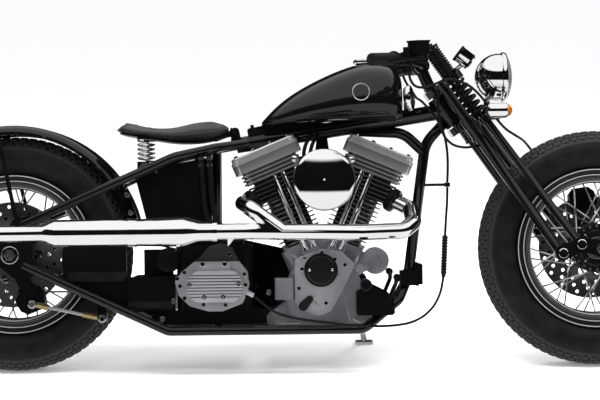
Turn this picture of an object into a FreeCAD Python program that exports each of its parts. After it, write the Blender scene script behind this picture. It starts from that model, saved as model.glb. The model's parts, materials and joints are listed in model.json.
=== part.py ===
import FreeCAD, Part
import math
import os

# A chopper motorcycle with a rigid frame, a springer fork and a 45 degree V-twin.
# It is drawn upright: X runs forward from the rear axle, Y to the rider's left and Z up from the ground.
# parked() then leans it onto its side stand.

V = FreeCAD.Vector

# Driving dimensions in millimetres and degrees
WHEEL_BASE = 1616.0
TYRE_RADIUS = 326.0
TYRE_WIDTH = 128.0
CROWN_RADIUS = 70.0
RIM_RADIUS = 220.0
RIM_WIDTH = 92.0
RIM_WALL = 4.0
SPOKE_COUNT = 40
SPOKE_RADIUS = 2.2
HUB_HALF_WIDTH = 60.0
FLANGE_RADIUS = 68.0
DISC_RADIUS = 145.0
DISC_INNER_Y = 74.0
DISC_OUTER_Y = 79.0
LEAN_ANGLE = 8.0

RAKE_ANGLE = 35.0
STEERING_SET_BACK = 20.0
FORK_HALF_WIDTH = 100.0
ROCKER_Y = 121.0
RIGID_LEG_RADIUS = 15.0
SPRING_LEG_RADIUS = 11.5
RIGID_PIVOT_X = 1511.0
RIGID_PIVOT_Z = 315.0
SPRING_PIVOT_X = 1561.6
SPRING_PIVOT_Z = 339.0
PIVOT_PIN_RADIUS = 8.0
AXLE_RADIUS = 11.0
REAR_AXLE_RADIUS = 12.0
FIT = 0.1

NECK_LOW = 455.0
NECK_HIGH = 548.0
STEM_RADIUS = 13.0
NECK_RADIUS = 27.0
FRAME_TUBE_RADIUS = 15.0
RAIL_RADIUS = 13.0
STAY_RADIUS = 12.5
BACKBONE_RADIUS = 22.0
BACKBONE_END_X = 618.0
BACKBONE_END_Z = 622.0
RAIL_Y = 118.0
RAIL_Z = 113.0
SEAT_POST_X = 562.0
PLATE_HALF = 7.0

CRANK_X = 857.0
CRANK_Z = 212.0
CRANKCASE_RADIUS = 107.0
CYLINDER_ANGLE = 22.5
DECK_HEIGHT = 150.0
HEAD_HEIGHT = 290.0
ROCKER_BOX_HEIGHT = 352.0
CYLINDER_FIN_RADIUS = 63.0
PUSHROD_RADIUS = 9.5

EXHAUST_Y = -186.0
HEADER_RADIUS = 22.0
MUFFLER_RADIUS = 38.5
MUFFLER_Z = 385.0

HANDLEBAR_RADIUS = 12.7
GRIP_RADIUS = 17.0
BAR_TIP_X = 988.0
BAR_TIP_Y = 350.0
BAR_TIP_Z = 832.0

BELT_Y = 72.0
BELT_WIDTH = 26.0
PULLEY_RADIUS = 108.0
SPROCKET_RADIUS = 44.0
BELT_THICKNESS = 4.0
PRIMARY_INNER_Y = 102.0
PRIMARY_OUTER_Y = 172.0
CLUTCH_X = 560.0
CLUTCH_Z = 255.0

LINE_RADIUS = 3.5

RAKE = math.radians(RAKE_ANGLE)
LEAN = math.radians(LEAN_ANGLE)
WHEEL_Z = TYRE_RADIUS


# Shapes that many pieces are made with


def rod(start, end, radius):
    """A round bar between two points."""
    start, end = V(*start), V(*end)
    along = end.sub(start)
    return Part.makeCylinder(radius, along.Length, start, along)


def cross_rod(x, z, y0, y1, radius):
    """A round bar straight across the bike."""
    return rod((x, y0, z), (x, y1, z), radius)


def box(x0, x1, y0, y1, z0, z1):
    return Part.makeBox(x1 - x0, y1 - y0, z1 - z0, V(x0, y0, z0))


def rounded_block(half_x, half_y, low, high, corner, edge=0.0):
    """A block about the z axis with round upright corners and, if asked, a round top edge."""
    solid = Part.makeBox(2 * half_x, 2 * half_y, high - low, V(-half_x, -half_y, low))
    solid = solid.makeFillet(corner, [side for side in solid.Edges if is_upright(side)])
    if edge > 0:
        solid = solid.makeFillet(edge, [side for side in solid.Edges if lowest(side) > high - 0.01])
    return solid


def is_upright(edge):
    first, last = edge.Vertexes[0].Point, edge.Vertexes[-1].Point
    return abs(first.z - last.z) > 0.01


def lowest(edge):
    return min(vertex.Point.z for vertex in edge.Vertexes)


def fused(pieces):
    """One solid made of several that overlap."""
    whole = pieces[0]
    if len(pieces) > 1:
        whole = whole.multiFuse(pieces[1:])
    return whole.removeSplitter()


def cut(piece, tools):
    for tool in tools:
        piece = piece.cut(tool)
    return piece


def biggest(shape):
    """The largest solid of a shape, without offcuts."""
    return max(shape.Solids, key=lambda solid: solid.Volume)


def group(pieces):
    """Solids that share a node and do not touch."""
    solids = []
    for piece in pieces:
        solids += piece.Solids
    return Part.makeCompound(solids)


def moved(shape, x, y, z):
    shape = shape.copy()
    shape.translate(V(x, y, z))
    return shape


def placed(shape, placement):
    shape = shape.copy()
    shape.Placement = placement.multiply(shape.Placement)
    return shape


def mirrored(shape):
    """The same shape on the other side of the bike."""
    return shape.mirror(V(0, 0, 0), V(0, 1, 0))


def both_sides(shape):
    return [shape, mirrored(shape)]


def arcs_and_runs(points, radius_at):
    """Edges of straight runs joined by tangent arcs; radius_at gives each corner's radius."""
    points = [V(*point) for point in points]
    edges = []
    start = points[0]
    for before, corner, after in zip(points, points[1:], points[2:]):
        into = corner.sub(before)
        out = after.sub(corner)
        shorter = min(into.Length, out.Length)
        into.normalize()
        out.normalize()
        turn = math.acos(max(-1.0, min(1.0, into.dot(out))))
        if turn < 0.01:
            continue
        bend = radius_at(turn, shorter)
        back = bend * math.tan(turn / 2)
        first = corner.sub(V(into).multiply(back))
        last = corner.add(V(out).multiply(back))
        inward = out.sub(into).normalize()
        middle = corner.add(inward.multiply(bend / math.cos(turn / 2) - bend))
        if first.distanceToPoint(start) > 0.01:
            edges.append(Part.makeLine(start, first))
        edges.append(Part.Arc(first, middle, last).toShape())
        start = last
    edges.append(Part.makeLine(start, points[-1]))
    return edges


def swept(edges, points, radius):
    first = V(*points[0])
    heading = V(*points[1]).sub(first)
    ring = Part.Wire([Part.makeCircle(radius, first, heading)])
    return Part.Wire(edges).makePipeShell([ring], True, False)


def tube(points, radius, bend):
    """A round tube along straight runs joined by arcs of one bend radius."""
    return swept(arcs_and_runs(points, lambda turn, shorter: bend), points, radius)


def widest_bend(turn, shorter):
    """The largest bend that two runs of a cable allow."""
    return 0.45 * shorter / math.tan(turn / 2)


def cable(points, radius=LINE_RADIUS):
    """A cable along its route, bent as gently as its runs allow."""
    edges = arcs_and_runs(points, widest_bend)
    length = sum(edge.Length for edge in edges)
    bends = [edge.Curve.Radius for edge in edges if hasattr(edge.Curve, "Radius")]
    solid = swept(edges, points, radius)
    share = solid.Volume / (math.pi * radius ** 2 * length)
    print("cable", round(length), "mm, tightest bend", round(min(bends)), "mm, fill", round(share, 3))
    return solid


def closed_wire(points):
    """A closed outline in the XZ plane. A point with four values is an arc: its middle, then its end."""
    edges = []
    here = V(points[0][0], 0, points[0][1])
    first = here
    for point in points[1:]:
        if len(point) == 4:
            middle = V(point[0], 0, point[1])
            there = V(point[2], 0, point[3])
            edges.append(Part.Arc(here, middle, there).toShape())
        else:
            there = V(point[0], 0, point[1])
            edges.append(Part.makeLine(here, there))
        here = there
    if here.distanceToPoint(first) > 0.001:
        edges.append(Part.makeLine(here, first))
    return Part.Wire(edges)


def plate(points, y0, y1):
    """An outline seen from the side, given a thickness across the bike."""
    face = Part.Face(closed_wire(points))
    face.translate(V(0, y0, 0))
    return face.extrude(V(0, y1 - y0, 0))


def soft_plate(points, y0, y1, radius):
    """A plate whose corners, seen from the side, are rounded as far as their edges allow."""
    corners = [(x, y0, z) for x, z in points]
    middle = halfway(corners[0], corners[1])
    ring = [middle] + corners[1:] + [corners[0], middle]
    edges = arcs_and_runs(ring, lambda turn, shorter: min(radius, 0.45 * shorter / math.tan(turn / 2)))
    face = Part.Face(Part.Wire(edges))
    return face.extrude(V(0, y1 - y0, 0))


def halfway(first, second):
    return tuple((a + b) / 2 for a, b in zip(first, second))


def link(xa, za, ra, xb, zb, rb, y0, y1):
    """A flat bar with two round ends of their own radii."""
    run = math.hypot(xb - xa, zb - za)
    nx = -(zb - za) / run
    nz = (xb - xa) / run
    tilt = (ra - rb) / run
    cos = math.sqrt(1 - tilt * tilt)
    ux = (xb - xa) / run * tilt
    uz = (zb - za) / run * tilt
    outline = [
        (xa + (ux + nx * cos) * ra, za + (uz + nz * cos) * ra),
        (xb + (ux + nx * cos) * rb, zb + (uz + nz * cos) * rb),
        (xb + (ux - nx * cos) * rb, zb + (uz - nz * cos) * rb),
        (xa + (ux - nx * cos) * ra, za + (uz - nz * cos) * ra),
    ]
    web = plate(outline, y0, y1)
    return fused([web, cross_rod(xa, za, y0, y1, ra), cross_rod(xb, zb, y0, y1, rb)])


def turned(points, origin=(0, 0, 0), axis=(0, 1, 0)):
    """A profile of (distance along the axis, radius) points, spun about the axis at origin."""
    face = Part.Face(closed_wire([turned_point(point) for point in points]))
    solid = face.revolve(V(0, 0, 0), V(0, 0, 1), 360)
    solid.Placement = FreeCAD.Placement(V(*origin), FreeCAD.Rotation(V(0, 0, 1), V(*axis)))
    return solid


def turned_point(point):
    if len(point) == 4:
        return (point[1], point[0], point[3], point[2])
    return (point[1], point[0])


def dome(base, radius, tip):
    """The last profile point of a spherical cap: an arc from its rim at base to its tip on the axis."""
    height = tip - base
    ball = (radius ** 2 + height ** 2) / (2 * abs(height))
    half = math.asin(min(1.0, radius / ball)) / 2
    centre = tip - math.copysign(ball, height)
    return (centre + math.copysign(ball * math.cos(half), height), ball * math.sin(half), tip, 0)


def coil(start, end, coil_radius, wire_radius, turns):
    """A coil spring whose wire follows a helix about the line from start to end."""
    start, end = V(*start), V(*end)
    along = end.sub(start)
    helix = Part.makeHelix(along.Length / turns, along.Length, coil_radius)
    rise = along.Length / turns / (2 * math.pi * coil_radius)
    ring = Part.Wire([Part.makeCircle(wire_radius, V(coil_radius, 0, 0), V(0, 1, rise))])
    wire = Part.Wire(helix.Edges).makePipeShell([ring], True, True)
    wire.Placement = FreeCAD.Placement(start, FreeCAD.Rotation(V(0, 0, 1), along))
    return wire


def ring_section(points):
    """A closed smooth curve through points, as a wire."""
    curve = Part.BSplineCurve()
    curve.interpolate(Points=points, PeriodicFlag=True)
    return Part.Wire([curve.toShape()])


def hexagon(x, z, radius, y0, y1):
    """A six-sided nut across the bike."""
    points = []
    for number in range(6):
        angle = math.radians(60 * number)
        points.append((x + radius * math.cos(angle), z + radius * math.sin(angle)))
    return plate(points, y0, y1)


def fork_point(along, ahead, y):
    """A place on the fork: distance up from the rigid leg's pivot, distance ahead of the leg, and y."""
    x = RIGID_PIVOT_X - along * math.sin(RAKE) + ahead * math.cos(RAKE)
    z = RIGID_PIVOT_Z + along * math.cos(RAKE) + ahead * math.sin(RAKE)
    return (x, y, z)


def on_fork(shape):
    """Place a shape drawn with z up the fork leg and x ahead of it."""
    turn = FreeCAD.Rotation(V(0, 1, 0), -RAKE_ANGLE)
    return placed(shape, FreeCAD.Placement(V(RIGID_PIVOT_X, 0, RIGID_PIVOT_Z), turn))


def steering_rod(low, high, radius):
    """A round bar about the steering axis."""
    return rod(fork_point(low, -STEERING_SET_BACK, 0), fork_point(high, -STEERING_SET_BACK, 0), radius)


def cylinder_point(side, along, across, y):
    """A place on a cylinder: side is 1 for the front one, along runs up its bore from the crank."""
    angle = math.radians(CYLINDER_ANGLE) * side
    x = CRANK_X + along * math.sin(angle) + across * math.cos(angle)
    z = CRANK_Z + along * math.cos(angle) - across * math.sin(angle)
    return (x, y, z)


def on_cylinder(shape, side):
    """Place a shape drawn about the z axis onto a cylinder's axis."""
    turn = FreeCAD.Rotation(V(0, 1, 0), side * CYLINDER_ANGLE)
    return placed(shape, FreeCAD.Placement(V(CRANK_X, 0, CRANK_Z), turn))


# The frame

STAY_ROUTE = [(650, 20, 628), (560, 78, 614), (452, RAIL_Y, 590), (34, RAIL_Y, 408)]
RAIL_ROUTE = [
    (1096, 14, 256),
    (1066, 62, 190),
    (965, RAIL_Y, RAIL_Z),
    (430, RAIL_Y, RAIL_Z),
    (34, RAIL_Y, 298),
]
SADDLE_PIN_X = 612.0
SADDLE_PIN_Z = 660.0
SADDLE_PIN_RADIUS = 5.0
SADDLE_SPRING_X = 366.0
SADDLE_SPRING_Y = 104.0
PERCH_TOP = 578.0
FENDER_RADIUS = 357.0
BEARING_CLEARANCE = 1.0


def steering_bore():
    """The room that the stem turns in."""
    return steering_rod(NECK_LOW - 5, NECK_HIGH + 5, STEM_RADIUS + BEARING_CLEARANCE)


def backbone_tube(radius):
    return rod(fork_point(500, -STEERING_SET_BACK, 0), (BACKBONE_END_X, 0, BACKBONE_END_Z), radius)


def frame_backbone():
    """Neck with its two bearing cups, the backbone and the saddle's pivot ears."""
    neck = steering_rod(NECK_LOW, NECK_HIGH, NECK_RADIUS)
    cups = [steering_rod(NECK_LOW, NECK_LOW + 10, NECK_RADIUS + 4)]
    cups.append(steering_rod(NECK_HIGH - 10, NECK_HIGH, NECK_RADIUS + 4))
    ears = []
    for y0, y1 in ((-16, -11), (11, 16)):
        ears.append(soft_plate([(603, 634), (604, 672), (624, 672), (632, 634)], y0, y1, 9))
    foot = box(603, 634, -16, 16, 634, 643)
    whole = fused([neck, backbone_tube(BACKBONE_RADIUS), foot] + cups + ears)
    return cut(whole, [steering_bore(), saddle_pin(SADDLE_PIN_RADIUS + FIT)])


def frame_downtube():
    """The front tube, its brace up to the backbone, the yoke for the rails and the cable's clamp."""
    top = fork_point(482, -STEERING_SET_BACK, 0)
    down = tube([top, (1146, 0, 622), (1096, 0, 262)], FRAME_TUBE_RADIUS, 90)
    brace = tube([(1140, 0, 600), (1085, 0, 652), (940, 0, 660)], FRAME_TUBE_RADIUS, 70)
    yoke = cross_rod(1096, 256, -32, 32, 19)
    arm = rod((1130, -4, 506), (1196, -44, 506), 4)
    clamp = rod((1203, -46, 500), (1203, -46, 512), 8)
    return cut(fused([down, brace, yoke, arm, clamp]), [frame_backbone(), steering_bore()])


def on_side(points, side):
    return [(x, side * y, z) for x, y, z in points]


def rail(side):
    return cut(tube(on_side(RAIL_ROUTE, side), RAIL_RADIUS, 45), [frame_downtube()])


def stay(side):
    return cut(tube(on_side(STAY_ROUTE, side), STAY_RADIUS, 60), [frame_backbone()])


def spring_perch(side):
    """The round foot on a stay that a saddle spring stands on."""
    y = side * (SADDLE_SPRING_Y + 1)
    return cut(rod((SADDLE_SPRING_X, y, 556), (SADDLE_SPRING_X, y, PERCH_TOP), 17), [stay(side)])


def frame_rails():
    """Lower rails with the brake stay's tab on the right and the stand's bracket on the left."""
    return group([fused([rail(-1), brake_stay_tab()]), biggest(fused([rail(1), stand_bracket()]))])


def frame_stays():
    return group([biggest(fused([stay(side), spring_perch(side)])) for side in (-1, 1)])


def frame_crossbars():
    """Seat post with its bars, and the bars under the engine and ahead of the rear wheel."""
    post = rod((SEAT_POST_X, 0, RAIL_Z), (SEAT_POST_X, 0, 612), 14)
    foot = cross_rod(SEAT_POST_X, RAIL_Z, -RAIL_Y, RAIL_Y, 12)
    head = cross_rod(SEAT_POST_X, 612, -84, 84, 13)
    bars = [fused([post, foot, head])]
    for x, z, radius in ((714, RAIL_Z, 11), (985, RAIL_Z + 14, 9), (390, 131.7, 10), (306, 526.4, 8)):
        bars.append(cross_rod(x, z, -RAIL_Y, RAIL_Y, radius))
    gone = [rail(-1), rail(1), stay(-1), stay(1), frame_backbone()]
    return group([middle_solid(cut(bar, gone)) for bar in bars])


def middle_solid(shape):
    """The solid on the centre plane, without the offcuts at its sides."""
    return min(shape.Solids, key=lambda solid: abs(solid.CenterOfMass.y))


def axle_plate(side):
    """Slotted plate that joins a rail and a stay at the rear axle, with the fender's strut."""
    outline = [(-34, 300), (-34, 352), (10, 424), (62, 436), (62, 262), (10, 262)]
    solid = soft_plate(outline, RAIL_Y - PLATE_HALF, RAIL_Y + PLATE_HALF, 8)
    slot = cross_rod(0, WHEEL_Z, 0, 200, REAR_AXLE_RADIUS + 0.6)
    strut = tube([(20, RAIL_Y, 412), (12, RAIL_Y - 4, 446), (-38, 88, 668)], 5.5, 30)
    whole = biggest(cut(fused([solid, strut]), [slot, stay(1), rail(1)]))
    return whole if side > 0 else mirrored(whole)


def rear_axle():
    """Axle with its end nuts and the left spacer between the plate and the pulley."""
    face = RAIL_Y + PLATE_HALF
    pieces = [cross_rod(0, WHEEL_Z, -face - 16, face + 16, REAR_AXLE_RADIUS)]
    pieces.append(hexagon(0, WHEEL_Z, 17, face, face + 11))
    pieces.append(hexagon(0, WHEEL_Z, 17, -face - 11, -face))
    pieces.append(cross_rod(0, WHEEL_Z, HUB_HALF_WIDTH + 11, RAIL_Y - PLATE_HALF, 17))
    return fused(pieces)


# Wheels, each drawn about the origin with its axle along Y


def rim_profile():
    edge = RIM_WIDTH / 2
    return [
        (-edge, RIM_RADIUS - 14),
        (-edge, RIM_RADIUS),
        (-edge + RIM_WALL, RIM_RADIUS),
        (-edge + RIM_WALL, RIM_RADIUS - 16),
        (-edge + 20, RIM_RADIUS - 18),
        (-edge + 26, RIM_RADIUS - 34),
        (edge - 26, RIM_RADIUS - 34),
        (edge - 20, RIM_RADIUS - 18),
        (edge - RIM_WALL, RIM_RADIUS - 16),
        (edge - RIM_WALL, RIM_RADIUS),
        (edge, RIM_RADIUS),
        (edge, RIM_RADIUS - 14),
        (edge - 18, RIM_RADIUS - 22),
        (edge - 26, RIM_RADIUS - 40),
        (-edge + 26, RIM_RADIUS - 40),
        (-edge + 18, RIM_RADIUS - 22),
    ]


def hub_profile(bore):
    half = HUB_HALF_WIDTH
    flange = FLANGE_RADIUS
    return [
        (-half, bore),
        (-half, 26),
        (-48, 30),
        (-48, flange - 2),
        (-46, flange),
        (-40, flange),
        (-39, flange - 10),
        (-30, 34),
        (30, 34),
        (39, flange - 10),
        (40, flange),
        (46, flange),
        (48, flange - 2),
        (48, 30),
        (half, 26),
        (half, bore),
    ]


def wheel_body(bore):
    """Rim, hub and laced spokes."""
    spokes = [spoke(number) for number in range(SPOKE_COUNT)]
    return fused([turned(rim_profile()), turned(hub_profile(bore))] + spokes)


def spoke(number):
    """One spoke from a hub flange to the rim well, leaning forward or back."""
    side = 1 if number % 2 else -1
    lean = 1 if number % 4 < 2 else -1
    at_rim = 2 * math.pi * number / SPOKE_COUNT
    at_hub = at_rim + lean * math.radians(44)
    start_radius = FLANGE_RADIUS - 5
    start = (start_radius * math.cos(at_hub), side * (43.5 + lean), start_radius * math.sin(at_hub))
    reach = RIM_RADIUS - 37
    end = (reach * math.cos(at_rim), side * 12, reach * math.sin(at_rim))
    return rod(start, end, SPOKE_RADIUS)


def crown_arc(reach):
    """The tread as an arc about the crown's centre."""
    drop = CROWN_RADIUS - math.sqrt(CROWN_RADIUS ** 2 - reach ** 2)
    return (0, TYRE_RADIUS, reach, TYRE_RADIUS - drop)


def tyre():
    half = TYRE_WIDTH / 2
    edge = RIM_WIDTH / 2 - RIM_WALL
    bead = RIM_RADIUS - 15
    crown = crown_arc(half - 12)
    return turned([
        (-edge, bead),
        (-edge, RIM_RADIUS + 1),
        (-half, RIM_RADIUS + 44, -half + 12, crown[3]),
        crown,
        (half, RIM_RADIUS + 44, edge, RIM_RADIUS + 1),
        (edge, bead),
        (edge - 9, bead),
        (half - 11, RIM_RADIUS + 44, half - 24, RIM_RADIUS + 78),
        (0, TYRE_RADIUS - 13, -half + 24, RIM_RADIUS + 78),
        (-half + 11, RIM_RADIUS + 44, -edge + 9, bead),
    ])


def ring_of_holes(count, ring, radius, y0, y1, turn=0.0):
    """Round tools in a ring about the wheel's axle."""
    holes = []
    for number in range(count):
        angle = 2 * math.pi * (number + turn) / count
        holes.append(cross_rod(ring * math.cos(angle), ring * math.sin(angle), y0, y1, radius))
    return Part.makeCompound(holes)


def brake_disc(side):
    """A drilled disc on its open carrier, bolted to one end of the hub."""
    disc = turned([
        (HUB_HALF_WIDTH, 14),
        (HUB_HALF_WIDTH, 44),
        (DISC_INNER_Y - 4, 52),
        (DISC_INNER_Y, 92),
        (DISC_INNER_Y, DISC_RADIUS),
        (DISC_OUTER_Y, DISC_RADIUS),
        (DISC_OUTER_Y, 50),
        (HUB_HALF_WIDTH + 6, 40),
        (HUB_HALF_WIDTH + 6, 14),
    ])
    tools = [ring_of_holes(10, 71, 12, DISC_INNER_Y - 10, DISC_OUTER_Y + 5)]
    for order, ring in enumerate((101, 117, 132)):
        tools.append(ring_of_holes(18, ring, 5, DISC_INNER_Y - 5, DISC_OUTER_Y + 5, order * 0.34))
    disc = cut(disc, tools)
    return disc if side > 0 else mirrored(disc)


def rear_pulley():
    """Belt pulley with its dished web, on the left end of the rear hub."""
    pulley = turned([
        (HUB_HALF_WIDTH, 14),
        (HUB_HALF_WIDTH, 46),
        (BELT_Y + 4, 58),
        (BELT_Y + 4, PULLEY_RADIUS - 10),
        (BELT_Y, PULLEY_RADIUS - 10),
        (BELT_Y, PULLEY_RADIUS + 6),
        (BELT_Y + 2, PULLEY_RADIUS + 6),
        (BELT_Y + 2, PULLEY_RADIUS),
        (BELT_Y + BELT_WIDTH, PULLEY_RADIUS),
        (BELT_Y + BELT_WIDTH, PULLEY_RADIUS - 10),
        (BELT_Y + 12, PULLEY_RADIUS - 12),
        (BELT_Y + 12, 54),
        (HUB_HALF_WIDTH + 6, 40),
        (HUB_HALF_WIDTH + 6, 14),
    ])
    return cut(pulley, [ring_of_holes(5, 76, 15, BELT_Y - 5, BELT_Y + BELT_WIDTH + 5)])


def at_front(shape):
    return moved(shape, WHEEL_BASE, 0, WHEEL_Z)


def at_rear(shape):
    return moved(shape, 0, 0, WHEEL_Z)


# The springer fork

PERCH_LOW = 552.0
PERCH_HIGH = 574.0
CROWN_LOW = 430.0
CROWN_HIGH = 451.0
SPRING_ROD_Y = 58.0
SPRING_ROD_AHEAD = 43.0
SPRING_ROD_RADIUS = 6.0
MAIN_WIRE = 5.0
REBOUND_WIRE = 3.0
REBOUND_LENGTH = 88.0
EYE_HALF = 15.3


def leg_rod(low, high, radius):
    """A round bar along the right rigid leg."""
    return rod(fork_point(low, 0, -FORK_HALF_WIDTH), fork_point(high, 0, -FORK_HALF_WIDTH), radius)


def leg_eye(x, z, radius):
    return cross_rod(x, z, -FORK_HALF_WIDTH - EYE_HALF, -FORK_HALF_WIDTH + EYE_HALF, radius)


def rigid_fork():
    """Rear legs, lower crown, steering stem and the upper perch that carries the springs."""
    leg = fused([
        leg_rod(0, PERCH_HIGH, RIGID_LEG_RADIUS),
        leg_rod(392, CROWN_HIGH, RIGID_LEG_RADIUS + 4),
        leg_rod(388, 396, RIGID_LEG_RADIUS + 6),
        leg_eye(RIGID_PIVOT_X, RIGID_PIVOT_Z, 21),
    ])
    crown = on_fork(yoke_plate(CROWN_LOW, CROWN_HIGH, -STEERING_SET_BACK - 30, 18))
    perch = on_fork(yoke_plate(PERCH_LOW, PERCH_HIGH, -STEERING_SET_BACK - 26, 18))
    pieces = both_sides(leg) + [crown, perch]
    for side in (-1, 1):
        y = side * SPRING_ROD_Y
        low = fork_point(PERCH_LOW, SPRING_ROD_AHEAD, y)
        high = fork_point(PERCH_HIGH, SPRING_ROD_AHEAD, y)
        pieces.append(rod(low, high, 26))
        pieces.append(on_fork(box(5, SPRING_ROD_AHEAD, y - 18, y + 18, PERCH_LOW, PERCH_HIGH)))
    pieces.append(steering_rod(CROWN_LOW, PERCH_HIGH, STEM_RADIUS))
    pieces.append(steering_rod(PERCH_HIGH, PERCH_HIGH + 12, 17))
    clearance = SPRING_ROD_RADIUS + 0.4
    gone = [spring_rod(-1, clearance), spring_rod(1, clearance), rocker_pins(PIVOT_PIN_RADIUS + FIT)]
    return cut(fused(pieces), gone)


def yoke_plate(low, high, back, front):
    """A fork yoke: a scalloped block between the legs with rounded ends."""
    middle = box(back, front, -FORK_HALF_WIDTH, FORK_HALF_WIDTH, low, high)
    pieces = [middle]
    scoops = []
    for side in (-1, 1):
        pieces.append(Part.makeCylinder(20, high - low, V(0, side * FORK_HALF_WIDTH, low)))
        scoops.append(Part.makeCylinder(34, high - low, V(back - 6, side * (FORK_HALF_WIDTH - 28), low)))
        scoops.append(box(back - 1, -14, side * FORK_HALF_WIDTH - 20, side * FORK_HALF_WIDTH + 20, low, high))
    return fused([cut(middle, scoops)] + pieces[1:])


def spring_rod(side, radius):
    y = side * SPRING_ROD_Y
    low = fork_point(CROWN_LOW - 14, SPRING_ROD_AHEAD, y)
    high = fork_point(PERCH_HIGH + REBOUND_LENGTH + 16, SPRING_ROD_AHEAD, y)
    return rod(low, high, radius)


def spring_fork():
    """Front legs, their cross member with the springs' feet, and the spring rods with top caps."""
    top = fork_point(CROWN_LOW - 4, SPRING_ROD_AHEAD, -FORK_HALF_WIDTH)
    foot = (SPRING_PIVOT_X, -FORK_HALF_WIDTH, SPRING_PIVOT_Z)
    leg = fused([rod(foot, top, SPRING_LEG_RADIUS), leg_eye(SPRING_PIVOT_X, SPRING_PIVOT_Z, 18)])
    bridge = moved(rounded_block(17, FORK_HALF_WIDTH + 15, CROWN_LOW - 18, CROWN_LOW, 12),
                   SPRING_ROD_AHEAD, 0, 0)
    pieces = both_sides(leg) + [on_fork(bridge)]
    for side in (-1, 1):
        y = side * SPRING_ROD_Y
        pieces.append(spring_rod(side, SPRING_ROD_RADIUS))
        pieces.append(rod(fork_point(CROWN_LOW - 6, SPRING_ROD_AHEAD, y),
                          fork_point(CROWN_LOW, SPRING_ROD_AHEAD, y), 24))
        pieces.append(rod(fork_point(PERCH_HIGH + REBOUND_LENGTH, SPRING_ROD_AHEAD, y),
                          fork_point(PERCH_HIGH + REBOUND_LENGTH + 8, SPRING_ROD_AHEAD, y), 17))
    clear = both_sides(leg_rod(0, PERCH_HIGH, RIGID_LEG_RADIUS + 1))
    return cut(fused(pieces), clear + [rocker_pins(PIVOT_PIN_RADIUS + FIT)])


def rocker_pins(radius):
    """The pins that the rockers turn on."""
    pins = []
    for x, z in ((RIGID_PIVOT_X, RIGID_PIVOT_Z), (SPRING_PIVOT_X, SPRING_PIVOT_Z)):
        pins += both_sides(cross_rod(x, z, -ROCKER_Y - 10, -FORK_HALF_WIDTH + 16, radius))
    return Part.makeCompound(pins)


def axle_tool(x):
    """The room in a bracket for a wheel's axle."""
    return cross_rod(x, WHEEL_Z, -200, 200, AXLE_RADIUS + FIT)


def fork_rockers():
    """Rockers from the rigid legs past the spring legs to the axle, with their pins."""
    y0, y1 = -ROCKER_Y - 5.5, -ROCKER_Y + 5.5
    pieces = [
        link(RIGID_PIVOT_X, RIGID_PIVOT_Z, 20, SPRING_PIVOT_X, SPRING_PIVOT_Z, 19, y0, y1),
        link(SPRING_PIVOT_X, SPRING_PIVOT_Z, 19, WHEEL_BASE, WHEEL_Z, 22, y0, y1),
        cross_rod(1588, 331, y0 - 4, y0, 8),
    ]
    for x, z in ((RIGID_PIVOT_X, RIGID_PIVOT_Z), (SPRING_PIVOT_X, SPRING_PIVOT_Z)):
        pieces.append(turned([(-8, 0), (-8, 8), (-6, 8), (-6, 11), (-8, 11), (-8, 14), (0, 14), (0, 0)],
                             (x, y0, z)))
        pieces.append(cross_rod(x, z, y0 - 6, -FORK_HALF_WIDTH + 16, PIVOT_PIN_RADIUS))
    return group(both_sides(cut(fused(pieces), [axle_tool(WHEEL_BASE)])))


def front_axle():
    half = ROCKER_Y + 21
    face = ROCKER_Y + 5.5
    pieces = [cross_rod(WHEEL_BASE, WHEEL_Z, -half, half, AXLE_RADIUS)]
    pieces.append(hexagon(WHEEL_BASE, WHEEL_Z, 16, face, face + 10))
    pieces.append(hexagon(WHEEL_BASE, WHEEL_Z, 16, -face - 10, -face))
    pieces.append(cross_rod(WHEEL_BASE, WHEEL_Z, -ROCKER_Y + 5.5, -HUB_HALF_WIDTH - 5, 17))
    return fused(pieces)


def fork_springs():
    """Heavy springs below the perch and light rebound springs above it."""
    springs = []
    main = MAIN_WIRE + FIT
    rebound = REBOUND_WIRE + FIT
    for side in (-1, 1):
        y = side * SPRING_ROD_Y
        low = fork_point(CROWN_LOW + main, SPRING_ROD_AHEAD, y)
        high = fork_point(PERCH_LOW - main, SPRING_ROD_AHEAD, y)
        springs.append(coil(low, high, 18.5, MAIN_WIRE, 6))
        low = fork_point(PERCH_HIGH + rebound, SPRING_ROD_AHEAD, y)
        high = fork_point(PERCH_HIGH + REBOUND_LENGTH - rebound, SPRING_ROD_AHEAD, y)
        springs.append(coil(low, high, 13.5, REBOUND_WIRE, 11))
    return group(springs)


# Handlebar, lamps and instruments, all on the fork

BAR_X = 1136.0
BAR_Z = 836.0
BAR_BEND_X = 1070.0
BAR_BEND_Y = 236.0
BAR_BEND_Z = 842.0
RISER_Y = 44.0
MIRROR_HOLE_RADIUS = 4.3
MIRROR_HOLE_DEPTH = 15.0
MIRROR_HOLE_TOP = (140.0, -16.0, 30.0)


def handlebar_tube():
    points = [
        (BAR_TIP_X, -BAR_TIP_Y, BAR_TIP_Z),
        (BAR_BEND_X, -BAR_BEND_Y, BAR_BEND_Z),
        (BAR_X, -150, BAR_Z),
        (BAR_X, 150, BAR_Z),
        (BAR_BEND_X, BAR_BEND_Y, BAR_BEND_Z),
        (BAR_TIP_X, BAR_TIP_Y, BAR_TIP_Z),
    ]
    return tube(points, HANDLEBAR_RADIUS, 70)


def handlebar():
    """Low swept bar clamped in two risers that stand on the perch."""
    pieces = [handlebar_tube()]
    for side in (-1, 1):
        y = side * RISER_Y
        foot = fork_point(PERCH_HIGH, -STEERING_SET_BACK - 4, y)
        pieces.append(rod(foot, (BAR_X, y, BAR_Z - 4), 13))
        pieces.append(cross_rod(BAR_X, BAR_Z, y - 15, y + 15, 21))
    return biggest(cut(fused(pieces), [rigid_fork()]))


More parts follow.
